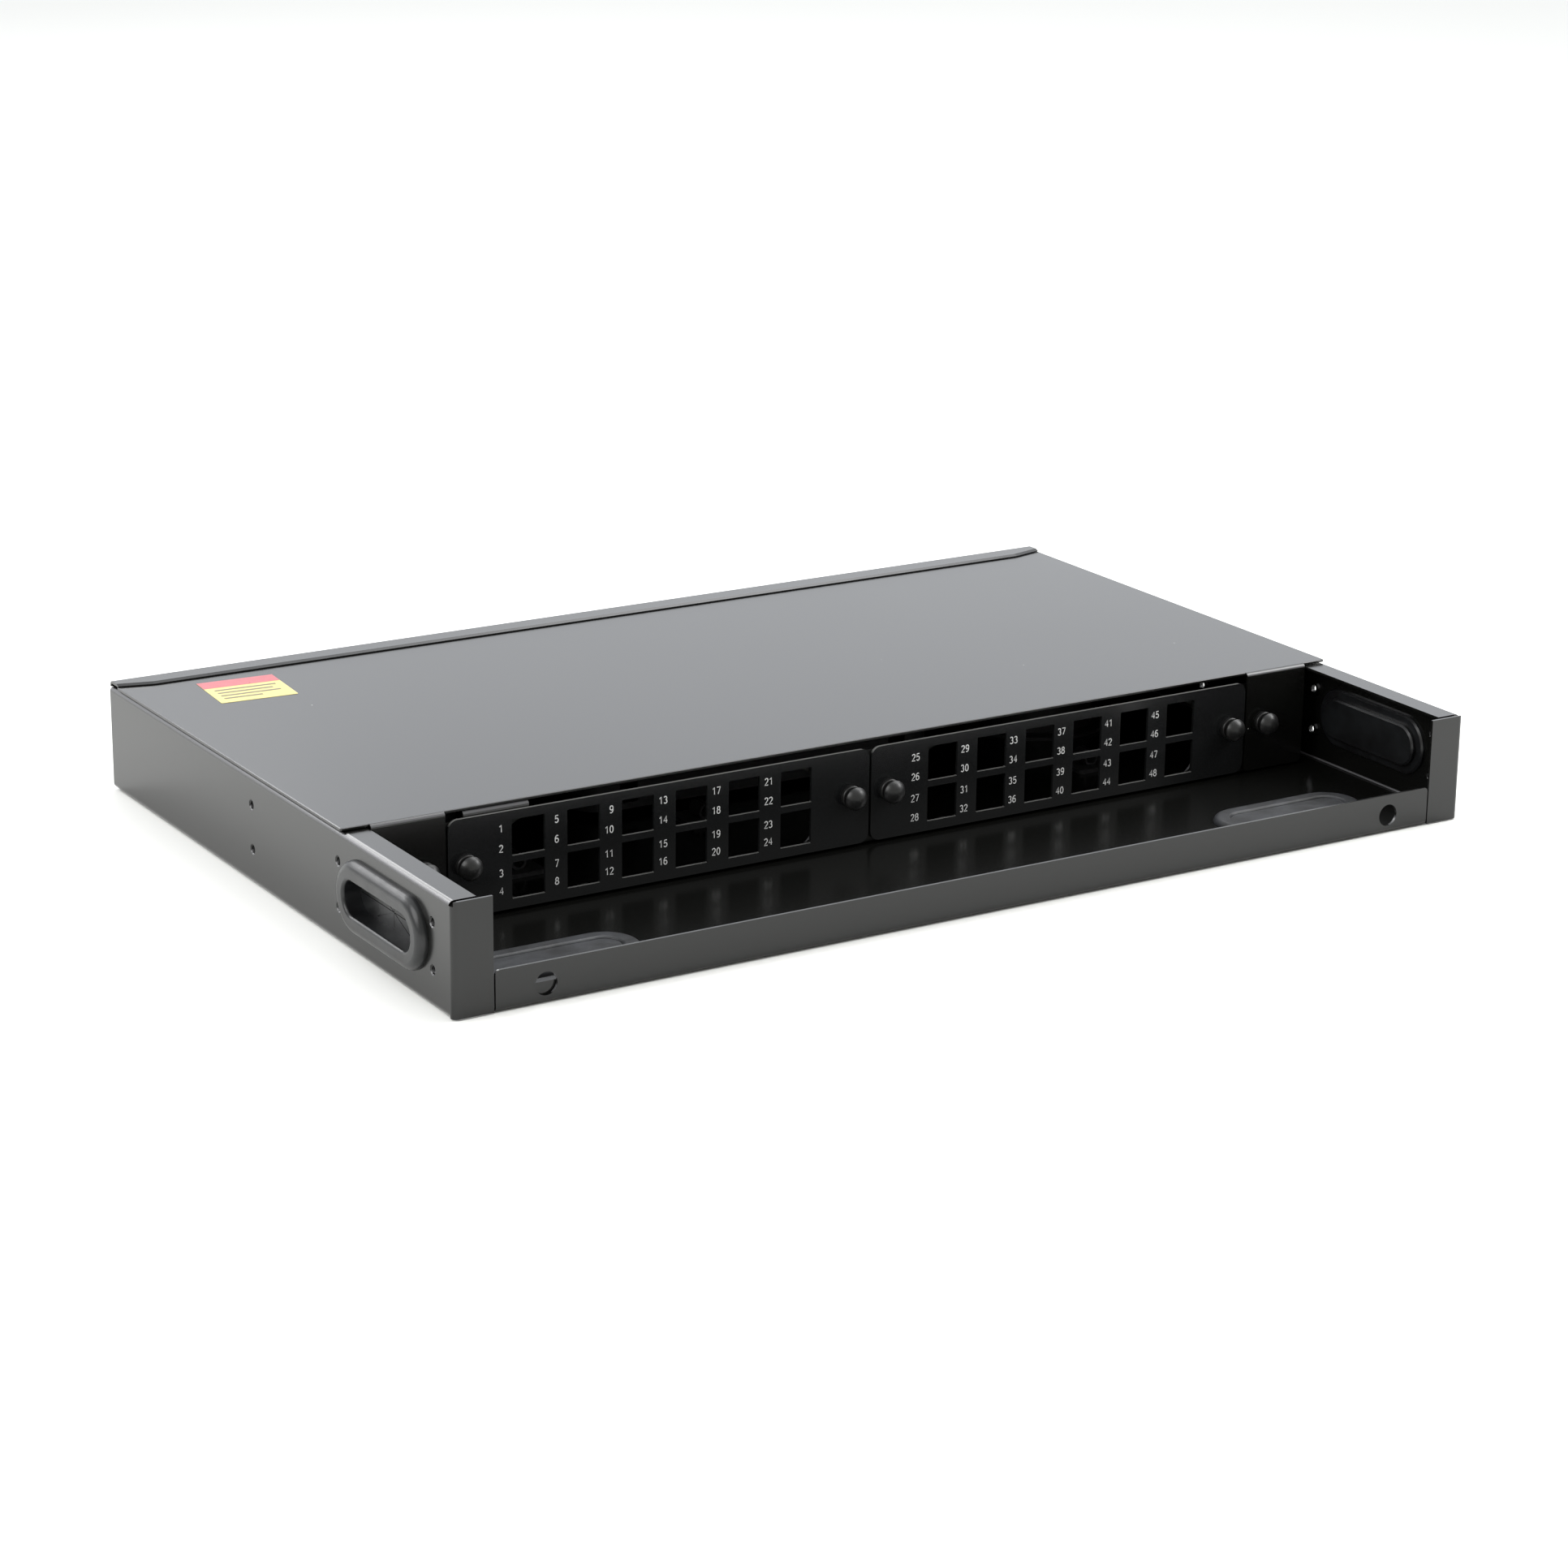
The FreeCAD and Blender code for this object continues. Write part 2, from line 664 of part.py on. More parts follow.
def strip_bevels():
    """Bevel cutters along the strip's front edge and its two tapered ends."""
    outline = [
        (-(X_SIDE - FIT), Y_REAR - STRIP_END_WIDTH), (-(X_SIDE - STRIP_TAPER), Y_REAR - STRIP_WIDTH),
        (X_SIDE - STRIP_TAPER, Y_REAR - STRIP_WIDTH), (X_SIDE - FIT, Y_REAR - STRIP_END_WIDTH),
    ]
    return [strip_bevel(start, end) for start, end in zip(outline, outline[1:])]


def rear_wall():
    """Rear wall folded up from the floor, with a top strip folded forward over the cover."""
    inner = BEND - SHEET
    section = [
        (-STRIP_WIDTH, HEIGHT, 0), (0, HEIGHT, BEND), (0, 0, BEND), (-BEND, 0, 0),
        (-BEND, SHEET, 0), (-SHEET, SHEET, inner), (-SHEET, HEIGHT - SHEET, inner),
        (-STRIP_WIDTH, HEIGHT - SHEET, 0),
    ]
    body = turned(turned(prism(section, 2 * X_SIDE), (1, 0, 0), 90), (0, 0, 1), 90)
    body = moved(body, (-X_SIDE, Y_REAR, 0))
    opening = stadium_prism(ENTRY_HOLE_R, -SHEET - PAST, PAST)
    cuts = strip_bevels()
    for side in (-1, 1):
        low, high = sorted((side * (X_SIDE - SHEET - FIT), side * (X_SIDE + PAST)))
        cuts.append(block(low, high, Y_REAR - 2 * BEND, Y_REAR + PAST, -PAST, FLANGE_TOP + FIT / 2))
        cuts.append(strip_end_cutter(side))
        cuts.append(on_rear_wall(opening, side * REAR_ENTRY_X))
        start = (side * PLUG_X, Y_REAR - SHEET - PAST, ENTRY_Z)
        cuts.append(rod(start, (0, 1, 0), PLUG_HOLE_R, SHEET + 2 * PAST))
    earth_start = (EARTH_X, Y_REAR - SHEET - PAST, EARTH_Z)
    cuts.append(rod(earth_start, (0, 1, 0), EARTH_R, SHEET + 2 * PAST))
    return cut_all(body, cuts)


# ------------------------------------------------------------------ front frame
def front_frame():
    """Folded bulkhead that the adapter plates and the cover's ears latch into."""
    inner = BEND - SHEET
    section = [
        (FRAME_FOOT, SHEET, 0), (0, SHEET, BEND), (0, FRAME_TOP, BEND), (FRAME_HEAD, FRAME_TOP, 0),
        (FRAME_HEAD, FRAME_TOP - SHEET, 0), (SHEET, FRAME_TOP - SHEET, inner),
        (SHEET, 2 * SHEET, inner), (FRAME_FOOT, 2 * SHEET, 0),
    ]
    body = turned(turned(prism(section, 2 * FRAME_HALF_X), (1, 0, 0), 90), (0, 0, 1), 90)
    body = moved(body, (-FRAME_HALF_X, at_depth(FRAME_DEPTH), 0))
    y_start = at_depth(FRAME_DEPTH) - PAST
    through = SHEET + 2 * PAST
    cuts = []
    for low, high in ((-X_SIDE, FRAME_TAB_X[0]), (FRAME_TAB_X[1], X_SIDE)):
        cuts.append(block(low, high, y_start, y_start + FRAME_HEAD + 2 * PAST, FRAME_WEB_TOP, HEIGHT))
    for side in (-1, 1):
        x_in, x_out = sorted((side * FRAME_OPEN_IN_X, side * FRAME_OPEN_OUT_X))
        cuts.append(upright_plate(x_in, x_out, *FRAME_OPEN_Z, y_start, through, FRAME_OPEN_CORNER))
        for x in (PLATE_PLUNGER_IN_X, PLATE_PLUNGER_OUT_X, EAR_PLUNGER_X):
            cuts.append(rod((side * x, y_start, PLUNGER_Z), (0, 1, 0), FRAME_HOLE_R, through))
    for x in RIVET_XS:
        cuts.append(rod((x, at_depth(RIVET_DEPTH), 0), (0, 0, 1), RIVET_R, 2 * SHEET + PAST))
    return cut_all(body, cuts)


def domed_rivet(x, y, seat):
    """Rivet with a flat domed head above the seat height and its tail flush in the floor."""
    points = [
        (0, RIVET_RECESS), (RIVET_R, RIVET_RECESS), (RIVET_R, seat), (RIVET_HEAD_R, seat),
        (0, seat + RIVET_HEAD),
    ]
    dome = cap_middle(RIVET_HEAD_R, seat, seat + RIVET_HEAD)
    return moved(spun(points, {3: dome}), (x, y, 0))


def frame_rivets():
    """Row of rivets through the frame's foot."""
    return [domed_rivet(x, at_depth(RIVET_DEPTH), 2 * SHEET) for x in RIVET_XS]


# ------------------------------------------------------------------ adapter plates
def window_corners(side):
    """Low x and low z of each of a plate's windows, column by column from the left."""
    spots = []
    first = side * WINDOW_MID_X - WINDOW_PITCH_X * (WINDOW_COLUMNS - 1) / 2
    for column in range(WINDOW_COLUMNS):
        for row in (0.5, -0.5):
            x = first + column * WINDOW_PITCH_X - WINDOW_W / 2
            z = WINDOW_MID_Z + row * WINDOW_PITCH_Z - WINDOW_H / 2
            spots.append((x, z))
    return spots


def adapter_plate(side):
    """Flat plate with two rows of adapter windows and a latch hole at each end."""
    x_in, x_out = sorted((side * PLATE_INNER_X, side * PLATE_OUTER_X))
    y = at_depth(FACE_DEPTH)
    body = upright_plate(x_in, x_out, PLATE_BOTTOM, PLATE_TOP, y, PLATE_SHEET, PLATE_CORNER)
    y_start = y - PAST
    through = PLATE_SHEET + 2 * PAST
    cuts = []
    for x, z in window_corners(side):
        cuts.append(upright_plate(x, x + WINDOW_W, z, z + WINDOW_H, y_start, through, WINDOW_CORNER))
    for x in (PLATE_PLUNGER_IN_X, PLATE_PLUNGER_OUT_X):
        cuts.append(rod((side * x, y_start, PLUNGER_Z), (0, 1, 0), BUSH_HOLE_R, through))
    return cut_all(body, cuts)


# ------------------------------------------------------------------ latches
def latch_bush(x):
    """Split nylon bush: a flange in front of the panel and four legs through it."""
    points = [
        (BUSH_BORE_R, -BUSH_LEGS), (BUSH_R - BUSH_ROUND, -BUSH_LEGS), (BUSH_R, -BUSH_LEGS + 2 * BUSH_ROUND),
        (BUSH_R, 0), (BUSH_FLANGE_R, 0), (BUSH_FLANGE_R, BUSH_FLANGE - BUSH_ROUND),
        (BUSH_FLANGE_R - BUSH_ROUND, BUSH_FLANGE), (BUSH_BORE_R, BUSH_FLANGE),
    ]
    body = spun(points, {5: bulge(points[5], points[6])})
    blades = []
    low = -BUSH_LEGS - PAST
    for angle in (45, 135):
        blade = block(-BUSH_R - PAST, BUSH_R + PAST, -BUSH_SPLIT / 2, BUSH_SPLIT / 2, low, -BUSH_SPLIT_FROM)
        blades.append(turned(blade, (0, 0, 1), angle))
    return forwards(cut_all(body, blades), x, FACE_DEPTH, PLUNGER_Z)


def latch_plunger(x):
    """Nylon plunger: a stem that spreads the bush, a collar and a domed knob."""
    tip = -STEM_LENGTH - STEM_TIP
    points = [
        (0, tip), (STEM_R - STEM_CHAMFER, tip), (STEM_R, -STEM_LENGTH),
        (STEM_R, COLLAR_BACK), (COLLAR_R, COLLAR_BACK), (COLLAR_R, KNOB_BACK),
        (KNOB_R - KNOB_ROUND, KNOB_BACK), (KNOB_R, KNOB_BACK + KNOB_ROUND), (KNOB_R, KNOB_RIM),
        (0, KNOB_TOP),
    ]
    corner = (KNOB_R - KNOB_ROUND * (1 - math.sqrt(0.5)), KNOB_BACK + KNOB_ROUND * (1 - math.sqrt(0.5)))
    arcs = {6: corner, 8: cap_middle(KNOB_R, KNOB_RIM, KNOB_TOP)}
    return forwards(spun(points, arcs), x, FACE_DEPTH, PLUNGER_Z)


# ------------------------------------------------------------------ top cover
def cover_ear(side):
    """Ear folded down from the cover's front edge."""
    inner = COVER_BEND - COVER_SHEET
    root = COVER_BEND + PAST
    section = [
        (root, COVER_TOP, 0), (0, COVER_TOP, COVER_BEND), (0, EAR_BOTTOM, 0),
        (COVER_SHEET, EAR_BOTTOM, 0), (COVER_SHEET, COVER_BOTTOM, inner), (root, COVER_BOTTOM, 0),
    ]
    width = EAR_OUTER_X - EAR_INNER_X
    body = turned(turned(prism(section, width), (1, 0, 0), 90), (0, 0, 1), 90)
    x_low = min(side * EAR_INNER_X, side * EAR_OUTER_X)
    body = moved(body, (x_low, at_depth(FACE_DEPTH), 0))
    y = at_depth(FACE_DEPTH) - PAST
    shape = [
        (x_low, EAR_BOTTOM, EAR_CORNER), (x_low + width, EAR_BOTTOM, EAR_CORNER),
        (x_low + width, HEIGHT, 0), (x_low, HEIGHT, 0),
    ]
    reach = root + 2 * PAST
    envelope = stand_up(prism(shape, reach), y + reach)
    hole = rod((side * EAR_PLUNGER_X, y, PLUNGER_Z), (0, 1, 0), BUSH_HOLE_R, COVER_SHEET + 2 * PAST)
    return body.common(envelope).cut(hole)


def top_cover():
    """Flat cover that tucks under the rear strip, with an ear at each end of its front."""
    cut_x = COVER_HALF_X - COVER_REAR_CUT
    rear = at_depth(COVER_REAR_DEPTH)
    cut_y = rear - COVER_REAR_CUT
    front = at_depth(COVER_EDGE_DEPTH)
    plan = [
        (-COVER_HALF_X, front), (COVER_HALF_X, front), (COVER_HALF_X, cut_y),
        (cut_x, rear), (-cut_x, rear), (-COVER_HALF_X, cut_y),
    ]
    corners = [(x, y, COVER_CORNER) for x, y in plan]
    lid = moved(prism(corners, COVER_SHEET), (0, 0, COVER_BOTTOM))
    rims = [edge for edge in lid.Edges if edge.BoundBox.ZMin > COVER_TOP - COVER_EDGE_ROUND]
    lid = lid.makeFillet(COVER_EDGE_ROUND, rims)
    return fuse_all([lid, cover_ear(-1), cover_ear(1)])


def cover_label():
    """Thin square sticker near the cover's rear left corner."""
    x, y = LABEL_X, at_depth(LABEL_DEPTH)
    half_w, half_l = LABEL_W / 2, LABEL_L / 2
    sheet = rounded_block(x - half_w, x + half_w, y - half_l, y + half_l,
                          COVER_TOP, COVER_TOP + LABEL_THICK, LABEL_CORNER)
    return turned(sheet, (0, 0, 1), LABEL_TURN, (x, y, 0))


# ------------------------------------------------------------------ splice trays
def tray_block(shrink, z0, z1):
    """Rounded block of the tray's plan size, made smaller all round by shrink."""
    x, y = TRAY_X / 2 - shrink, TRAY_Y / 2 - shrink
    middle = at_depth(TRAY_DEPTH)
    return rounded_block(-x, x, middle - y, middle + y, z0, z1, TRAY_CORNER - shrink)


def fibre_wall(side, base):
    """Half-round wall that turns the fibres at one end of a tray."""
    middle = at_depth(TRAY_DEPTH)
    centre = (side * TRAY_GUIDE_X, middle, base)
    wall = rod(centre, (0, 0, 1), TRAY_GUIDE_R, TRAY_GUIDE_HEIGHT)
    wall = wall.cut(rod(centre, (0, 0, 1), TRAY_GUIDE_R - TRAY_WALL, TRAY_GUIDE_HEIGHT))
    low, high = sorted((centre[0], centre[0] + side * TRAY_GUIDE_R))
    outer_half = block(low, high, middle - TRAY_GUIDE_R, middle + TRAY_GUIDE_R, base, base + TRAY_HEIGHT)
    return wall.common(outer_half)


def retaining_tabs(top):
    """Small tabs along both long walls that keep the fibres down."""
    tabs = []
    for x in TRAY_TAB_XS:
        for side in (-1, 1):
            edge = at_depth(TRAY_DEPTH) + side * (TRAY_Y - TRAY_WALL) / 2
            low, high = sorted((edge, edge - side * TRAY_TAB))
            tabs.append(block(x - TRAY_TAB / 2, x + TRAY_TAB / 2, low, high, top - TRAY_TAB_THICK, top))
    return tabs


def entry_notches(base):
    """Cutters for the fibre entries at the four ends of the long walls."""
    notches = []
    for side in (-1, 1):
        for end in (-1, 1):
            x = side * (TRAY_X / 2 - TRAY_NOTCH_INSET)
            y = at_depth(TRAY_DEPTH) + end * TRAY_Y / 2
            notches.append(block(x - TRAY_NOTCH / 2, x + TRAY_NOTCH / 2, y - 2 * TRAY_WALL,
                                 y + 2 * TRAY_WALL, base + TRAY_NOTCH_SILL, base + TRAY_HEIGHT + PAST))
    return notches


def splice_tray(base):
    """Open tray with fibre walls, stud bosses, entry notches and retaining tabs."""
    top = base + TRAY_HEIGHT
    shell = tray_block(0, base, top).cut(tray_block(TRAY_WALL, base + TRAY_FLOOR, top + PAST))
    adds = [shell] + retaining_tabs(top)
    cuts = entry_notches(base)
    for side in (-1, 1):
        centre = (side * STUD_X, at_depth(TRAY_DEPTH), base)
        adds.append(rod(centre, (0, 0, 1), TRAY_BOSS_R, TRAY_HEIGHT))
        adds.append(fibre_wall(side, base))
        cuts.append(rod(centre, (0, 0, 1), STUD_HOLE_R, TRAY_HEIGHT))
    return cut_all(fuse_all(adds), cuts)


def splice_comb(base):
    """Comb that holds the splice protectors in the middle of a tray."""
    low = base + TRAY_FLOOR
    middle = at_depth(TRAY_DEPTH)
    body = block(-COMB_X / 2, COMB_X / 2, middle - COMB_Y / 2, middle + COMB_Y / 2, low, low + COMB_HEIGHT)
    slots = []
    for slot in range(COMB_SLOTS):
        centre = middle + (slot - (COMB_SLOTS - 1) / 2) * COMB_PITCH
        slots.append(block(-COMB_X, COMB_X, centre - COMB_SLOT / 2, centre + COMB_SLOT / 2,
                           low + COMB_SILL, low + COMB_HEIGHT + PAST))
    return cut_all(body, slots)


def tray_lid():
    """Clear lid over the upper tray, with a finger notch at each end."""
    body = tray_block(LID_INSET, LID_Z, LID_Z + LID_SHEET)
    middle = at_depth(TRAY_DEPTH)
    cuts = []
    for side in (-1, 1):
        cuts.append(rod((side * STUD_X, middle, LID_Z), (0, 0, 1), STUD_HOLE_R, LID_SHEET))
        cuts.append(rod((side * TRAY_X / 2, middle, LID_Z), (0, 0, 1), LID_GRIP_R, LID_SHEET))
    return cut_all(body, cuts)


def tray_studs():
    """Two clinch studs that stand on the floor and carry the trays."""
    top = LID_Z + LID_SHEET + STUD_ABOVE_LID
    points = [
        (0, RIVET_RECESS), (STUD_R, RIVET_RECESS), (STUD_R, top - STUD_CHAMFER),
        (STUD_R - STUD_CHAMFER, top), (0, top),
    ]
    return [moved(spun(points), (side * STUD_X, at_depth(TRAY_DEPTH), 0)) for side in (-1, 1)]


def tray_sleeves():
    """Sleeves that hold the lower tray off the floor."""
    sleeves = []
    for side in (-1, 1):
        start = (side * STUD_X, at_depth(TRAY_DEPTH), SHEET)
        sleeve = rod(start, (0, 0, 1), SLEEVE_R, TRAY_LIFT)
        sleeves.append(sleeve.cut(rod(start, (0, 0, 1), STUD_HOLE_R, TRAY_LIFT)))
    return sleeves


def tray_nuts():
    """Knurled thumb nuts on the studs."""
    bore = STUD_R + STUD_FIT
    chamfer = STUD_CHAMFER
    points = [
        (bore, 0), (NUT_NECK_R, 0), (NUT_NECK_R, NUT_NECK), (NUT_R, NUT_NECK),
        (NUT_R, NUT_HEIGHT - chamfer), (NUT_R - chamfer, NUT_HEIGHT), (bore, NUT_HEIGHT),
    ]
    grooves = []
    for step in range(NUT_GROOVES):
        groove = rod((NUT_R + FIT, 0, NUT_NECK - FIT), (0, 0, 1), NUT_GROOVE_R, NUT_HEIGHT)
        grooves.append(turned(groove, (0, 0, 1), 360 * step / NUT_GROOVES))
    nut = cut_all(spun(points), grooves)
    seat = LID_Z + LID_SHEET
    return [moved(nut, (side * STUD_X, at_depth(TRAY_DEPTH), seat)) for side in (-1, 1)]


# ------------------------------------------------------------------ fibre and cable handling
def slack_spool(side):
    """Open drum that keeps the fibre slack above its smallest bend radius."""
    base = rod((0, 0, 0), (0, 0, 1), SPOOL_BASE_R, SPOOL_BASE)
    hub = rod((0, 0, 0), (0, 0, 1), SPOOL_HUB_R, SPOOL_HEIGHT)
    hub = hub.cut(rod((0, 0, 0), (0, 0, 1), SPOOL_HUB_R - SPOOL_WALL, SPOOL_HEIGHT))
    boss = rod((0, 0, 0), (0, 0, 1), SPOOL_BOSS_R, SPOOL_BOSS)
    adds = [base, hub, boss]
    for angle in (45, 135, 225, 315):
        tab = block(SPOOL_HUB_R - SPOOL_WALL / 2, SPOOL_BASE_R, -SPOOL_TAB_WIDTH / 2, SPOOL_TAB_WIDTH / 2,
                    SPOOL_HEIGHT - SPOOL_BASE, SPOOL_HEIGHT)
        adds.append(turned(tab, (0, 0, 1), angle))
    spool = fuse_all(adds).cut(rod((0, 0, 0), (0, 0, 1), RIVET_R, SPOOL_BOSS))
    return moved(spool, (side * SPOOL_X, at_depth(SPOOL_DEPTH), SHEET))


def pan_screw(x, y, seat, head, shank_r):
    """Pan-head screw with a cross slot, its tail flush in the floor."""
    head_r, head_h = head
    rim = seat + head_h / 2
    top = seat + head_h
    points = [
        (0, RIVET_RECESS), (shank_r, RIVET_RECESS), (shank_r, seat), (head_r, seat), (head_r, rim), (0, top),
    ]
    body = spun(points, {4: cap_middle(head_r, rim, top)})
    cuts = []
    for angle in (0, 90):
        slot = block(-head_r * 0.6, head_r * 0.6, -SCREW_SLOT / 2, SCREW_SLOT / 2, rim, top + PAST)
        cuts.append(turned(slot, (0, 0, 1), angle))
    return moved(cut_all(body, cuts), (x, y, 0))


def spool_screws():
    """One screw down each spool's middle."""
    return [pan_screw(side * SPOOL_X, at_depth(SPOOL_DEPTH), SHEET + SPOOL_BOSS, SPOOL_SCREW_HEAD,
                      RIVET_R - SCREW_FIT)
            for side in (-1, 1)]


def clamp_hole_cutters(height):
    """Cutters for the two screws of a clamp, about the clamp's centre."""
    return [rod((screw, 0, 0), (0, 0, 1), RIVET_R, height) for screw in (-CLAMP_SCREW_X, CLAMP_SCREW_X)]


def clamp_base(side):
    """Saddle on the floor that an incoming cable is clamped to."""
    top = SHEET + CLAMP_HEIGHT
    body = block(-CLAMP_X_HALF, CLAMP_X_HALF, -CLAMP_Y_HALF, CLAMP_Y_HALF, SHEET, top)
    trough = rod((0, -2 * CLAMP_Y_HALF, CLAMP_TROUGH_Z), (0, 1, 0), CLAMP_TROUGH_R, 4 * CLAMP_Y_HALF)
    body = cut_all(body, [trough] + clamp_hole_cutters(top))
    return moved(body, (side * REAR_ENTRY_X, at_depth(CLAMP_DEPTH), 0))


def clamp_bar(side):
    """Arched strap over the saddle."""
    seat = SHEET + CLAMP_HEIGHT + BAR_GAP
    axis_z = seat + BAR_ARCH_RISE
    inner_r = BAR_ARCH_R - BAR_SHEET
    feet = block(-CLAMP_X_HALF, CLAMP_X_HALF, -BAR_Y_HALF, BAR_Y_HALF, seat, seat + BAR_SHEET)
    arch = rod((0, -BAR_Y_HALF, axis_z), (0, 1, 0), BAR_ARCH_R, 2 * BAR_Y_HALF)
    above = block(-CLAMP_X_HALF, CLAMP_X_HALF, -BAR_Y_HALF, BAR_Y_HALF, seat, seat + 2 * BAR_ARCH_R)
    hollow = rod((0, -BAR_Y_HALF - PAST, axis_z), (0, 1, 0), inner_r, 2 * (BAR_Y_HALF + PAST))
    mouth = block(-inner_r, inner_r, -BAR_Y_HALF - PAST, BAR_Y_HALF + PAST, seat - PAST, axis_z)
    body = fuse_all([feet, arch.common(above)])
    body = cut_all(body, [hollow, mouth] + clamp_hole_cutters(2 * seat)).removeSplitter()
    return moved(body, (side * REAR_ENTRY_X, at_depth(CLAMP_DEPTH), 0))


def clamp_screws():
    """Two screws through each strap and saddle."""
    seat = SHEET + CLAMP_HEIGHT + BAR_GAP + BAR_SHEET
    screws = []
    for side in (-1, 1):
        for offset in (-CLAMP_SCREW_X, CLAMP_SCREW_X):
            x = side * REAR_ENTRY_X + offset
            screws.append(pan_screw(x, at_depth(CLAMP_DEPTH), seat, CLAMP_SCREW_HEAD, RIVET_R - SCREW_FIT))
    return screws


def fibre_clips():
    """Low open clips on adhesive pads that lead the fibres to the adapters."""
    half = CLIP_PAD / 2
    pad = rounded_block(-half, half, -half, half, 0, CLIP_PAD_HEIGHT, CLIP_PAD_CORNER)
    axis_z = CLIP_PAD_HEIGHT + CLIP_R - CLIP_SINK
    start = (0, -CLIP_LENGTH / 2, axis_z)
    ring = rod(start, (0, 1, 0), CLIP_R, CLIP_LENGTH).cut(rod(start, (0, 1, 0), CLIP_BORE_R, CLIP_LENGTH))
    mouth = block(-CLIP_MOUTH / 2, CLIP_MOUTH / 2, -half, half, axis_z, axis_z + 2 * CLIP_R)
    clip = fuse_all([pad, ring.cut(mouth)])
    return [moved(clip, (x, at_depth(depth), SHEET)) for x, depth in CLIP_SPOTS]


# ------------------------------------------------------------------ rear wall fittings
def rear_plug(side):
    """Snap-in plug that blanks a round gland hole."""
    points = [
        (0, 0), (PLUG_FLANGE_R, 0), (PLUG_FLANGE_R, PLUG_FLANGE - PLUG_CHAMFER),
        (PLUG_FLANGE_R - PLUG_CHAMFER, PLUG_FLANGE), (0, PLUG_FLANGE),
    ]
    skirt_r = PLUG_HOLE_R - PLUG_FIT
    start = (0, 0, -PLUG_SKIRT)
    skirt = rod(start, (0, 0, 1), skirt_r, PLUG_SKIRT)
    skirt = skirt.cut(rod(start, (0, 0, 1), skirt_r - PLUG_SKIRT_WALL, PLUG_SKIRT))
    return on_rear_wall(fuse_all([spun(points), skirt]), side * PLUG_X)


def backwards(shape):
    """Place an earth-terminal shape drawn about Z so that its +Z points to the rear."""
    return moved(turned(shape, (1, 0, 0), -90), (EARTH_X, Y_REAR, EARTH_Z))


def earth_stud():
    """Threaded stud, clinched in the rear wall with its head inside."""
    shank_r = EARTH_R - STUD_FIT
    back = -SHEET - EARTH_HEAD
    points = [
        (0, back), (EARTH_HEAD_R, back), (EARTH_HEAD_R, -SHEET), (shank_r, -SHEET),
        (shank_r, EARTH_REACH - EARTH_CHAMFER), (shank_r - EARTH_CHAMFER, EARTH_REACH), (0, EARTH_REACH),
    ]
    return backwards(spun(points))


def earth_washer():
    """Flat washer under the nut."""
    ring = rod((0, 0, 0), (0, 0, 1), EARTH_WASHER_R, EARTH_WASHER)
    return backwards(ring.cut(rod((0, 0, 0), (0, 0, 1), EARTH_R, EARTH_WASHER)))


def earth_nut():
    """Thin hexagon nut on the stud."""
    corners = []
    for step in range(6):
        angle = math.radians(60 * step)
        corners.append((EARTH_NUT_R * math.cos(angle), EARTH_NUT_R * math.sin(angle), 0))
    body = prism(corners, EARTH_NUT).cut(rod((0, 0, 0), (0, 0, 1), EARTH_R, EARTH_NUT))
    return backwards(moved(body, (0, 0, EARTH_WASHER)))


# ------------------------------------------------------------------ latch keeper in the tray
def latch_keeper():
    """Folded tongue behind the left latch hole, riveted to the floor."""
    sheet = KEEPER_SHEET
    inner = KEEPER_BEND - sheet
    under = KEEPER_HEIGHT - sheet
    section = [
        (0, KEEPER_HEIGHT, 0), (0, 0, KEEPER_BEND), (KEEPER_FOOT, 0, 0), (KEEPER_FOOT, sheet, 0),
        (sheet, sheet, inner), (sheet, under, inner), (KEEPER_HOOK, under, 0),
        (KEEPER_HOOK, KEEPER_HEIGHT, 0),
    ]
    body = turned(turned(prism(section, 2 * KEEPER_HALF), (1, 0, 0), 90), (0, 0, 1), 90)
    body = moved(body, (-LATCH_HOLE_X - KEEPER_HALF, at_depth(KEEPER_DEPTH), SHEET))
    foot = (-LATCH_HOLE_X, at_depth(KEEPER_RIVET_DEPTH), SHEET)
    return body.cut(rod(foot, (0, 0, 1), RIVET_R, 2 * sheet))


def keeper_rivet():
    """Rivet through the keeper's foot."""
    return domed_rivet(-LATCH_HOLE_X, at_depth(KEEPER_RIVET_DEPTH), SHEET + KEEPER_SHEET)


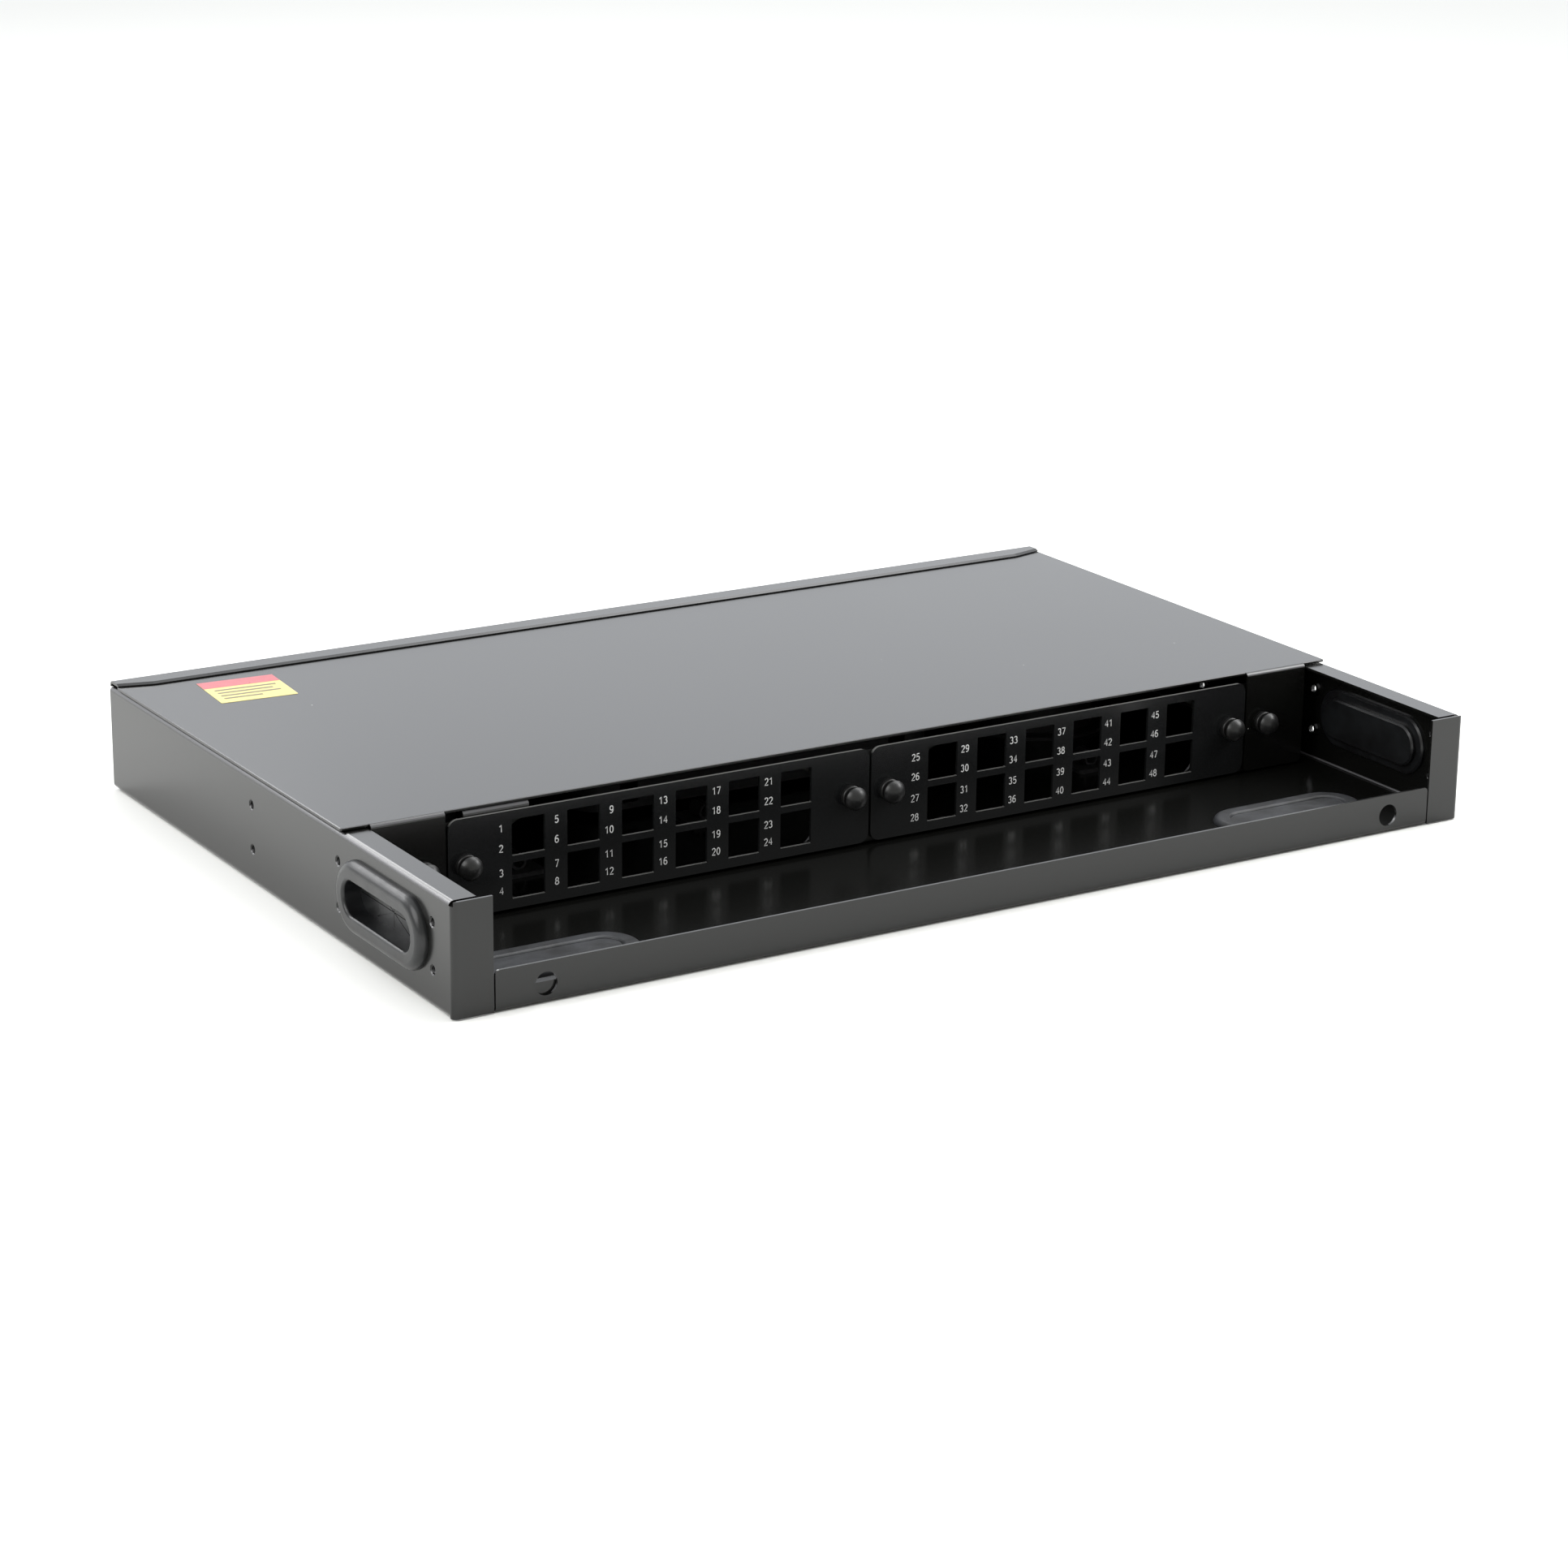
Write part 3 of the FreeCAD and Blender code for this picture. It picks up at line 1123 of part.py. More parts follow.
# ------------------------------------------------------------------ all the pieces
def all_parts():
    """Name and shape of every sub-part."""
    parts = {
        "floor_pan": floor_pan(),
        "front_lip": front_lip(),
        "rear_wall": rear_wall(),
        "front_frame": front_frame(),
        "frame_rivets": frame_rivets(),
        "top_cover": top_cover(),
        "cover_label": cover_label(),
        "adapter_plate_left": adapter_plate(-1),
        "adapter_plate_right": adapter_plate(1),
        "splice_tray_lower": splice_tray(LOWER_TRAY_Z),
        "splice_tray_upper": splice_tray(UPPER_TRAY_Z),
        "splice_comb_lower": splice_comb(LOWER_TRAY_Z),
        "splice_comb_upper": splice_comb(UPPER_TRAY_Z),
        "splice_tray_lid": tray_lid(),
        "tray_studs": tray_studs(),
        "tray_sleeves": tray_sleeves(),
        "tray_thumb_nuts": tray_nuts(),
        "spool_screws": spool_screws(),
        "clamp_screws": clamp_screws(),
        "fibre_clips": fibre_clips(),
        "earth_stud": earth_stud(),
        "earth_washer": earth_washer(),
        "earth_nut": earth_nut(),
        "latch_keeper": latch_keeper(),
        "keeper_rivet": keeper_rivet(),
    }
    grommet = wall_grommet()
    for name, side in (("left", -1), ("right", 1)):
        inner_x, outer_x = side * PLATE_PLUNGER_IN_X, side * PLATE_PLUNGER_OUT_X
        parts["side_wall_" + name] = side_wall(side)
        parts["side_grommet_" + name] = on_side_wall(grommet, side)
        parts["rear_grommet_" + name] = on_rear_wall(grommet, side * REAR_ENTRY_X)
        parts["floor_grommet_" + name] = floor_grommet(side * FLOOR_ENTRY_X)
        parts["rear_plug_" + name] = rear_plug(side)
        parts["slack_spool_" + name] = slack_spool(side)
        parts["cable_clamp_base_" + name] = clamp_base(side)
        parts["cable_clamp_bar_" + name] = clamp_bar(side)
        parts["plate_bushes_" + name] = [latch_bush(inner_x), latch_bush(outer_x)]
        parts["plate_plunger_inner_" + name] = latch_plunger(inner_x)
        parts["plate_plunger_outer_" + name] = latch_plunger(outer_x)
        parts["cover_plunger_" + name] = latch_plunger(side * EAR_PLUNGER_X)
    parts["cover_bushes"] = [latch_bush(side * EAR_PLUNGER_X) for side in (-1, 1)]
    return parts


def main():
    os.makedirs("parts", exist_ok=True)
    for name, shape in all_parts().items():
        solid = Part.makeCompound(shape) if isinstance(shape, list) else shape
        solid.exportStep("parts/" + name + ".step")
        box = solid.BoundBox
        print("%-26s solids %d valid %s volume %.0f  x %.1f..%.1f  y %.1f..%.1f  z %.2f..%.2f" % (
            name, len(solid.Solids), solid.isValid(), solid.Volume,
            box.XMin, box.XMax, box.YMin, box.YMax, box.ZMin, box.ZMax))


main()
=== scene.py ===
"""Looks of the fibre termination box: its finishes, port numbers, sticker print and threads,
and the floor, light and camera around it.

Everything is in metres: +X right seen from the front, +Y to the rear, +Z up.
"""
import json
import math

import bpy
from mathutils import Matrix, Vector


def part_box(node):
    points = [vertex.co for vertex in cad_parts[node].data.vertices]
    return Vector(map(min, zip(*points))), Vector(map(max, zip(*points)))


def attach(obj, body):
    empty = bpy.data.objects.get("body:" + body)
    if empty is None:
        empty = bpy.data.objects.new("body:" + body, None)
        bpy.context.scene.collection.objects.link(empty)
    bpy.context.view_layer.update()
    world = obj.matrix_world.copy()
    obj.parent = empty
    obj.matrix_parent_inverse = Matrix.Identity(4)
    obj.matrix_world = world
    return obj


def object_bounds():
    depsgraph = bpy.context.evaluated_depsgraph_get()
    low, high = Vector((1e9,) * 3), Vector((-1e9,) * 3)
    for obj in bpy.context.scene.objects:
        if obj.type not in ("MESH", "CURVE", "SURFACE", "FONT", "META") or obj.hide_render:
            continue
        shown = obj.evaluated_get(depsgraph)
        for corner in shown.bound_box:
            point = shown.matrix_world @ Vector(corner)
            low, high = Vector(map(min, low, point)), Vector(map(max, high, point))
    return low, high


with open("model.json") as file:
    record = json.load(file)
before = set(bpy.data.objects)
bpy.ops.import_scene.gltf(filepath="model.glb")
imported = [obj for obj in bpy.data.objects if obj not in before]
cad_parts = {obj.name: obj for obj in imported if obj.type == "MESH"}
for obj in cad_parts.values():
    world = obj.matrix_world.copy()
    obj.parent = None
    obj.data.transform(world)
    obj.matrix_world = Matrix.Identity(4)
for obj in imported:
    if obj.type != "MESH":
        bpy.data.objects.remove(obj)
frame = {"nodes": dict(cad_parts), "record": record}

CAD_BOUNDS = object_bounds()
NODES = frame["nodes"]
MM = 0.001

# ---- window grid of one adapter plate, measured from the plate's centre
WINDOW_COLUMNS = 6
WINDOW_PITCH_X = 22.7 * MM
WINDOW_WIDTH = 13.5 * MM
GRID_SHIFT_X = 0.1 * MM

# ---- printed port numbers: the advance is a share of the height, the rows go from the top down
DIGIT_HEIGHT = 2.65 * MM
DIGIT_ADVANCE = 0.74
DIGIT_STROKE_R = 0.19 * MM
DIGIT_ARC_STEP = 20
DIGIT_FROM_WINDOW = 3.4 * MM
PRINT_THICKNESS = 0.03 * MM
DIGIT_ROWS_LEFT = (33.5 * MM, 25.9 * MM, 16.6 * MM, 9.8 * MM)
DIGIT_ROWS_RIGHT = (32.8 * MM, 25.0 * MM, 16.4 * MM, 8.7 * MM)
PORTS_PER_PLATE = 24

# ---- rack-ear holes: depths from the front of the side wall, heights, and the thread inside
EAR_COLUMN_DEPTHS = (15.0 * MM, 88.3 * MM, 161.6 * MM)
EAR_ROWS = (13.4 * MM, 30.6 * MM)
THREAD_R = 1.6 * MM
THREAD_PITCH = 0.7 * MM
THREAD_TURNS = 2.6
THREAD_STEPS_PER_TURN = 20
THREAD_CREST_R = 0.16 * MM
THREAD_START = 0.45 * MM

# ---- print on the sticker: the band and the lines are shares of its size
LABEL_TURN = math.radians(-4.2)
LABEL_SIZE = (31.5 * MM, 29.6 * MM)
BAND_SHARE = 0.30
LINE_LEFT = 0.1
LINE_RIGHTS = (0.9, 0.82, 0.88, 0.6)
LINE_FRONT = 0.55
LINE_PITCH = 0.13
LINE_DEPTH = 0.05

# ---- surroundings: direction of the bright backdrop, the cosine from it at which the dim part
# begins, and the radiance there and at the backdrop
BACKDROP = Vector((0.50, 0.81, 0.30))
BACKDROP_EDGE = -0.3
WORLD_DIM = (0.60, 0.60, 0.575)
WORLD_BRIGHT = (1.47, 1.51, 1.57)

# ---- floor, just under the box
FLOOR_HALF = 6.0
FLOOR_DROP = 0.5 * MM
FLOOR_COLOR = (0.90, 0.90, 0.88)

# ---- soft lights: name, place, aim, size and power
LIGHTS = (
    ("overhead", (0.9, 0.3, 1.6), (0.1, 0, 0), (1.5, 1.1), 18.0),
    ("rear_strip", (-0.2, 1.8, 1.15), (0, 0, 0), (1.7, 0.35), 11.0),
    ("left_side", (-1.0, -0.2, 0.7), (-0.35, -0.05, 0), (0.8, 0.8), 7.0),
    ("left_rear", (-0.95, 1.15, 0.8), (-0.22, 0.05, 0.04), (0.5, 0.8), 4.0),
    ("right_side", (0.6, -0.28, 0.45), (0.2, -0.25, 0), (0.3, 0.3), 2.0),
)

# ---- camera
AZIMUTH = math.radians(-31.815)
ELEVATION = math.radians(17.744)
ROLL = math.radians(0.657)
DISTANCE = 1.500
AIM_OFFSET = Vector((-0.0232, -0.0408, 0.0))
LENS = 90.26
SENSOR_WIDTH = 36.0
CLIP_START = 0.05

# ---- powder coat, its lighter copy on the plates as painted light, the painted highlight and thin paint
# on bends and rims between values of the upward slope, and the dust on it: cells per metre, size of a
# speck in cells, and the share of cells with no speck
COAT_BLACK = (0.0042, 0.0043, 0.0039)
PLATE_BLACK_LIT = (0.0095, 0.0100, 0.0105)
COAT_ROUGHNESS = 0.19
THIN_COAT_AND_HIGHLIGHT = (0.11, 0.11, 0.115)
THIN_COAT_STOPS = (0.15, 0.4, 0.75, 0.9)
PLATE_EDGE_WEAR_AND_HIGHLIGHT = (0.16, 0.16, 0.155)
PLATE_EDGE_STOPS = (0.4, 0.7)
DUST = (0.35, 0.35, 0.33)
DUST_CELLS_PER_METRE = 110.0
DUST_SPECK_SIZE = 0.03
DUST_FREE_SHARE = 0.9

# ---- noise values between which a mottled colour goes from one end to the other
MOTTLE_RANGE = (0.35, 0.65)


# ------------------------------------------------------------------ materials
def new_material(name, color, roughness, metallic=0.0, specular=0.5):
    """Principled material with its plain values set."""
    material = bpy.data.materials.new(name)
    material.use_nodes = True
    shader = material.node_tree.nodes["Principled BSDF"]
    shader.inputs["Base Color"].default_value = (*color, 1.0)
    shader.inputs["Roughness"].default_value = roughness
    shader.inputs["Metallic"].default_value = metallic
    shader.inputs["Specular IOR Level"].default_value = specular
    return material


def add_noise(material, scale, detail=3.0):
    """Noise texture in object space; returns its node."""
    tree = material.node_tree
    coords = tree.nodes.new("ShaderNodeTexCoord")
    noise = tree.nodes.new("ShaderNodeTexNoise")
    noise.inputs["Scale"].default_value = scale
    noise.inputs["Detail"].default_value = detail
    tree.links.new(coords.outputs["Object"], noise.inputs["Vector"])
    return noise


def add_bump(material, scale, strength, distance):
    """Fine raised texture."""
    tree = material.node_tree
    noise = add_noise(material, scale)
    bump = tree.nodes.new("ShaderNodeBump")
    bump.inputs["Strength"].default_value = strength
    bump.inputs["Distance"].default_value = distance
    tree.links.new(noise.outputs["Fac"], bump.inputs["Height"])
    tree.links.new(bump.outputs["Normal"], tree.nodes["Principled BSDF"].inputs["Normal"])


def vary_color(material, scale, low, high):
    """Mottle the base colour between two close colours."""
    tree = material.node_tree
    noise = add_noise(material, scale)
    ramp = tree.nodes.new("ShaderNodeValToRGB")
    for element, position, color in zip(ramp.color_ramp.elements, MOTTLE_RANGE, (low, high)):
        element.position = position
        element.color = (*color, 1.0)
    tree.links.new(noise.outputs["Fac"], ramp.inputs["Fac"])
    shader = tree.nodes["Principled BSDF"]
    tree.links.new(ramp.outputs["Color"], shader.inputs["Base Color"])


def vary_roughness(material, scale, low, high):
    """Vary the roughness a little over the surface."""
    tree = material.node_tree
    noise = add_noise(material, scale, detail=2.0)
    spread = tree.nodes.new("ShaderNodeMapRange")
    spread.inputs["To Min"].default_value = low
    spread.inputs["To Max"].default_value = high
    tree.links.new(noise.outputs["Fac"], spread.inputs["Value"])
    tree.links.new(spread.outputs["Result"], tree.nodes["Principled BSDF"].inputs["Roughness"])


def add_dust(material, color):
    """Sparse pale specks of dust on top of a base colour that already varies."""
    tree = material.node_tree
    shader = tree.nodes["Principled BSDF"]
    coords = tree.nodes.new("ShaderNodeTexCoord")
    cells = tree.nodes.new("ShaderNodeTexVoronoi")
    cells.inputs["Scale"].default_value = DUST_CELLS_PER_METRE
    near = tree.nodes.new("ShaderNodeMath")
    near.operation = "LESS_THAN"
    near.inputs[1].default_value = DUST_SPECK_SIZE
    chosen = tree.nodes.new("ShaderNodeSeparateColor")
    few = tree.nodes.new("ShaderNodeMath")
    few.operation = "GREATER_THAN"
    few.inputs[1].default_value = DUST_FREE_SHARE
    both = tree.nodes.new("ShaderNodeMath")
    both.operation = "MULTIPLY"
    mix = tree.nodes.new("ShaderNodeMix")
    mix.data_type = "RGBA"
    tree.links.new(shader.inputs["Base Color"].links[0].from_socket, mix.inputs["A"])
    mix.inputs["B"].default_value = (*color, 1.0)
    tree.links.new(coords.outputs["Object"], cells.inputs["Vector"])
    tree.links.new(cells.outputs["Distance"], near.inputs[0])
    tree.links.new(cells.outputs["Color"], chosen.inputs["Color"])
    tree.links.new(chosen.outputs["Red"], few.inputs[0])
    tree.links.new(near.outputs["Value"], both.inputs[0])
    tree.links.new(few.outputs["Value"], both.inputs[1])
    tree.links.new(both.outputs["Value"], mix.inputs["Factor"])
    tree.links.new(mix.outputs["Result"], shader.inputs["Base Color"])


def powder_coat(name, color):
    """Black semi-gloss powder coat with a faint orange-peel skin."""
    material = new_material(name, color, COAT_ROUGHNESS)
    vary_roughness(material, scale=12.0, low=COAT_ROUGHNESS - 0.015, high=COAT_ROUGHNESS + 0.015)
    add_bump(material, scale=700.0, strength=0.02, distance=0.2 * MM)
    return material


def lighten_slopes(material, color, stops):
    """Painted highlight, partly thin paint: a lighter base colour where the surface faces upwards, past
    two stops or between four.
    """
    tree = material.node_tree
    coords = tree.nodes.new("ShaderNodeTexCoord")
    split = tree.nodes.new("ShaderNodeSeparateXYZ")
    ramp = tree.nodes.new("ShaderNodeValToRGB")
    plain = tuple(tree.nodes["Principled BSDF"].inputs["Base Color"].default_value)
    elements = ramp.color_ramp.elements
    elements[0].position, elements[0].color = stops[0], plain
    elements[1].position, elements[1].color = stops[1], (*color, 1.0)
    if len(stops) > 2:
        elements.new(stops[2]).color = (*color, 1.0)
        elements.new(stops[3]).color = plain
    tree.links.new(coords.outputs["Normal"], split.inputs["Vector"])
    tree.links.new(split.outputs["Z"], ramp.inputs["Fac"])
    tree.links.new(ramp.outputs["Color"], tree.nodes["Principled BSDF"].inputs["Base Color"])


def rubber(name, low, high, roughness, waves):
    """Soft rubber mottled between two colours: a bloom, and in the pads' lighter colours also painted
    sheen. Waves is the depth of its uneven skin.
    """
    material = new_material(name, low, roughness)
    vary_color(material, scale=90.0, low=low, high=high)
    vary_roughness(material, scale=150.0, low=roughness - 0.06, high=roughness + 0.1)
    add_bump(material, scale=45.0, strength=1.0, distance=waves)
    return material


def black_nylon():
    """Satin black nylon of the latches."""
    material = new_material("nylon_black", (0.012, 0.012, 0.012), 0.33)
    vary_roughness(material, scale=400.0, low=0.28, high=0.4)
    return material


def moulded_plastic(name, color, roughness):
    """Moulded plastic with a fine grain."""
    material = new_material(name, color, roughness)
    vary_roughness(material, scale=300.0, low=roughness - 0.05, high=roughness + 0.08)
    add_bump(material, scale=2500.0, strength=0.06, distance=0.1 * MM)
    return material


def plated_metal(name, color, roughness):
    """Plated or turned metal."""
    material = new_material(name, color, roughness, metallic=1.0)
    vary_roughness(material, scale=500.0, low=roughness - 0.06, high=roughness + 0.08)
    return material


def clear_plastic():
    """Clear lid over the splice trays."""
    material = new_material("lid_clear", (0.86, 0.88, 0.9), 0.12)
    material.node_tree.nodes["Principled BSDF"].inputs["Transmission Weight"].default_value = 0.85
    vary_roughness(material, scale=200.0, low=0.1, high=0.16)
    return material


def printed(name, color, roughness=0.45):
    """Flat printed ink, or the sticker's paper."""
    material = new_material(name, color, roughness)
    vary_roughness(material, scale=300.0, low=roughness - 0.05, high=roughness + 0.05)
    return material


SHEET_COAT = powder_coat("powder_coat_black", COAT_BLACK)
# painted highlight, partly thin paint: lighter base colour on upward-facing bends and rims
lighten_slopes(SHEET_COAT, THIN_COAT_AND_HIGHLIGHT, THIN_COAT_STOPS)
add_dust(SHEET_COAT, DUST)
# the plates' coat is the same black with a lighter base colour as painted light, plus a painted
# highlight, partly worn edge, on upward-facing edges
PLATE_COAT_LIT = powder_coat("powder_coat_plate_lit", PLATE_BLACK_LIT)
lighten_slopes(PLATE_COAT_LIT, PLATE_EDGE_WEAR_AND_HIGHLIGHT, PLATE_EDGE_STOPS)
MATERIALS = {
    "powder_coat": SHEET_COAT,
    "rivets": moulded_plastic("rivet_black", (0.03, 0.03, 0.03), 0.35),
    "entry_rubber": rubber(
        "rubber_black", (0.005, 0.005, 0.0055), (0.010, 0.011, 0.012), roughness=0.30, waves=0.4 * MM
    ),
    "plug_plastic": moulded_plastic("plug_black", (0.02, 0.02, 0.02), 0.42),
    "guide_plastic": moulded_plastic("guide_black", (0.03, 0.03, 0.032), 0.45),
    "clamp_plastic": moulded_plastic("clamp_black", (0.025, 0.025, 0.025), 0.45),
    "zinc_steel": plated_metal("zinc_plate", (0.62, 0.63, 0.66), 0.3),
    "aluminium": plated_metal("aluminium_turned", (0.78, 0.79, 0.8), 0.35),
    "brass": plated_metal("brass_turned", (0.72, 0.56, 0.27), 0.3),
    "tray_plastic": moulded_plastic("tray_black", (0.035, 0.035, 0.038), 0.45),
    "comb_foam": moulded_plastic("comb_grey", (0.32, 0.34, 0.37), 0.7),
    "clear_lid": clear_plastic(),
    "latch_nylon": black_nylon(),
    "label": printed("sticker_yellow", (0.60, 0.50, 0.13), 0.3),
}
# the pads' lighter bluish mottle is partly dust and partly painted sheen
PAD_RUBBER_SHEEN = rubber(
    "rubber_dusty_sheen", (0.007, 0.0075, 0.0085), (0.024, 0.026, 0.030), roughness=0.50, waves=1.6 * MM
)
THREAD_STEEL = plated_metal("thread_black", (0.06, 0.06, 0.06), 0.35)
WHITE_INK = printed("ink_white", (0.82, 0.82, 0.82))
RED_INK = printed("ink_red", (0.42, 0.045, 0.06), 0.3)
DARK_INK = printed("ink_dark", (0.13, 0.11, 0.06))


def paint_nodes():
    """Give every CAD node the finish of its material slot, the plates a lighter copy of the coat as
    painted light, and the pads rubber with dust and painted sheen.
    """
    for part in frame["record"]["subparts"]:
        material = MATERIALS[part["material_slot"]]
        if part["node"].startswith("adapter_plate"):
            material = PLATE_COAT_LIT
        if part["node"].startswith("floor_grommet"):
            material = PAD_RUBBER_SHEEN
        mesh = NODES[part["node"]].data
        mesh.materials.clear()
        mesh.materials.append(material)


# ------------------------------------------------------------------ mesh helpers
def link_object(name, mesh, material):
    """New object in the scene with one material."""
    piece = bpy.data.objects.new(name, mesh)
    mesh.materials.append(material)
    bpy.context.scene.collection.objects.link(piece)
    return piece


def box_mesh(name, boxes):
    """Mesh of separate blocks, each given by its low and high corner."""
    verts = []
    faces = []
    for low, high in boxes:
        base = len(verts)
        outline = ((low[0], low[1]), (high[0], low[1]), (high[0], high[1]), (low[0], high[1]))
        for z in (low[2], high[2]):
            verts += [(x, y, z) for x, y in outline]
        for face in ((0, 3, 2, 1), (4, 5, 6, 7), (0, 1, 5, 4), (1, 2, 6, 5), (2, 3, 7, 6), (3, 0, 4, 7)):
            faces.append([base + corner for corner in face])
    mesh = bpy.data.meshes.new(name)
    mesh.from_pydata(verts, [], faces)
    mesh.update()
    return mesh


def joined_mesh(name, objects):
    """One mesh made of several objects, which are removed."""
    verts = []
    faces = []
    graph = bpy.context.evaluated_depsgraph_get()
    for piece in objects:
        mesh = bpy.data.meshes.new_from_object(piece.evaluated_get(graph))
        base = len(verts)
        verts += [piece.matrix_world @ vertex.co for vertex in mesh.vertices]
        faces += [[base + corner for corner in face.vertices] for face in mesh.polygons]
        bpy.data.meshes.remove(mesh)
        bpy.data.objects.remove(piece)
    result = bpy.data.meshes.new(name)
    result.from_pydata(verts, [], faces)
    result.update()
    return result


def wire(name, radius, lines):
    """Round wire with closed ends along each line of points."""
    curve = bpy.data.curves.new(name, "CURVE")
    curve.dimensions = "3D"
    curve.bevel_depth = radius
    curve.bevel_resolution = 1
    curve.use_fill_caps = True
    for line in lines:
        spline = curve.splines.new("POLY")
        spline.points.add(len(line) - 1)
        for point, place in zip(spline.points, line):
            point.co = (*place, 1.0)
    piece = bpy.data.objects.new(name, curve)
    bpy.context.scene.collection.objects.link(piece)
    return piece


# ------------------------------------------------------------------ port numbers
def arc(x, y, across, up, start, end):
    """Points of an elliptical arc about a centre, from one angle to another in degrees."""
    steps = int(abs(end - start) / DIGIT_ARC_STEP)
    angles = [math.radians(start + (end - start) * step / steps) for step in range(steps + 1)]
    return [(x + across * math.cos(angle), y + up * math.sin(angle)) for angle in angles]


# strokes of each digit in a box 0.6 wide and 1 high
DIGIT_STROKES = {
    "0": [arc(0.30, 0.50, 0.24, 0.50, 0, 360)],
    "1": [[(0.10, 0.76), (0.36, 1.0), (0.36, 0.0)]],
    "2": [arc(0.29, 0.73, 0.24, 0.27, 165, -35) + [(0.04, 0.0), (0.56, 0.0)]],
    "3": [arc(0.27, 0.75, 0.22, 0.25, 155, -80), arc(0.28, 0.26, 0.25, 0.26, 85, -150)],
    "4": [[(0.44, 0.0), (0.44, 1.0), (0.02, 0.32), (0.59, 0.32)]],
    "5": [[(0.53, 1.0), (0.15, 1.0), (0.08, 0.52)] + arc(0.29, 0.31, 0.25, 0.31, 125, -150)],
    "6": [arc(0.30, 0.30, 0.24, 0.30, 0, 360), arc(0.36, 0.50, 0.30, 0.50, 60, 200)],
    "7": [[(0.04, 1.0), (0.56, 1.0), (0.22, 0.0)]],
    "8": [arc(0.30, 0.76, 0.20, 0.24, 0, 360), arc(0.30, 0.27, 0.25, 0.27, 0, 360)],
    "9": [arc(0.30, 0.70, 0.24, 0.30, 0, 360), arc(0.24, 0.50, 0.30, 0.50, 20, -120)],
}


def number_print(number, x, y, z):
    """One port number printed on the plate's front face. It ends just left of x, centred on z."""
    lines = []
    digits = str(number)
    for place, digit in enumerate(digits):
        left = (place - len(digits)) * DIGIT_ADVANCE
        for stroke in DIGIT_STROKES[digit]:
            lines.append([
                ((left + across) * DIGIT_HEIGHT, (up - 0.5) * DIGIT_HEIGHT, 0.0) for across, up in stroke
            ])
    piece = wire("number", DIGIT_STROKE_R, lines)
    upright = Matrix.Rotation(math.radians(90), 4, "X")
    flat = Matrix.Diagonal((1.0, 1.0, PRINT_THICKNESS / (2 * DIGIT_STROKE_R), 1.0))
    piece.matrix_world = Matrix.Translation((x, y, z)) @ upright @ flat
    return piece


def port_numbers(side, first, rows):
    """All the numbers of one plate: four to each column of windows."""
    plate = "adapter_plate_" + side
    low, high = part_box(plate)
    centre_x = (low[0] + high[0]) / 2
    shift = GRID_SHIFT_X if side == "left" else -GRID_SHIFT_X
    column_x = centre_x - (WINDOW_COLUMNS - 1) / 2 * WINDOW_PITCH_X + shift
    numbers = []
    for index in range(PORTS_PER_PLATE):
        column, row = divmod(index, len(rows))
        x = column_x + column * WINDOW_PITCH_X - WINDOW_WIDTH / 2 - DIGIT_FROM_WINDOW
        numbers.append(number_print(first + index, x, low[1] - PRINT_THICKNESS / 2, rows[row]))
    bpy.context.view_layer.update()
    name = "port_numbers_" + side
    piece = link_object(name, joined_mesh(name, numbers), WHITE_INK)
    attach(piece, "plate_" + side)


# ------------------------------------------------------------------ sticker print
def sticker_bars(name, bars, material):
    """Flat bars on the sticker. Each is (left, right, front, rear) as shares of its size."""
    low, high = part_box("cover_label")
    centre = Vector(((low[0] + high[0]) / 2, (low[1] + high[1]) / 2, 0))
    width, depth = LABEL_SIZE
    bottom = high[2]
    top = bottom + PRINT_THICKNESS
    boxes = []
    for left, right, front, rear in bars:
        corner_low = ((left - 0.5) * width, (front - 0.5) * depth, bottom)
        corner_high = ((right - 0.5) * width, (rear - 0.5) * depth, top)
        boxes.append((corner_low, corner_high))
    mesh = box_mesh(name, boxes)
    mesh.transform(Matrix.Translation(centre) @ Matrix.Rotation(LABEL_TURN, 4, "Z"))
    piece = link_object(name, mesh, material)
    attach(piece, "cover")


def sticker_print():
    """Red band at the rear of the sticker and plain bars in place of any words."""
    sticker_bars("sticker_band", [(0.0, 1.0, 1 - BAND_SHARE, 1.0)], RED_INK)
    lines = []
    for row, right in enumerate(LINE_RIGHTS):
        front = LINE_FRONT - row * LINE_PITCH
        lines.append((LINE_LEFT, right, front, front + LINE_DEPTH))
    sticker_bars("sticker_lines", lines, DARK_INK)


# ------------------------------------------------------------------ threads
def thread(centre, side):
    """Raised helix just inside a rack-ear hole."""
    points = []
    for index in range(int(THREAD_TURNS * THREAD_STEPS_PER_TURN) + 1):
        turn = index / THREAD_STEPS_PER_TURN
        angle = 2 * math.pi * turn
        x = centre[0] - side * (THREAD_START + turn * THREAD_PITCH)
        y = centre[1] + THREAD_R * math.cos(angle)
        z = centre[2] + THREAD_R * math.sin(angle)
        points.append((x, y, z))
    return wire("thread", THREAD_CREST_R, [points])


def ear_threads():
    """Threads of all the rack-ear holes, one piece for each side."""
    for side, name in ((-1, "left"), (1, "right")):
        low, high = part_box("side_wall_" + name)
        wall = low[0] if side < 0 else high[0]
        threads = []
        for depth in EAR_COLUMN_DEPTHS:
            for z in EAR_ROWS:
                threads.append(thread((wall, low[1] + depth, z), side))
        bpy.context.view_layer.update()
        label = "ear_hole_threads_" + name
        piece = link_object(label, joined_mesh(label, threads), THREAD_STEEL)
        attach(piece, "housing")


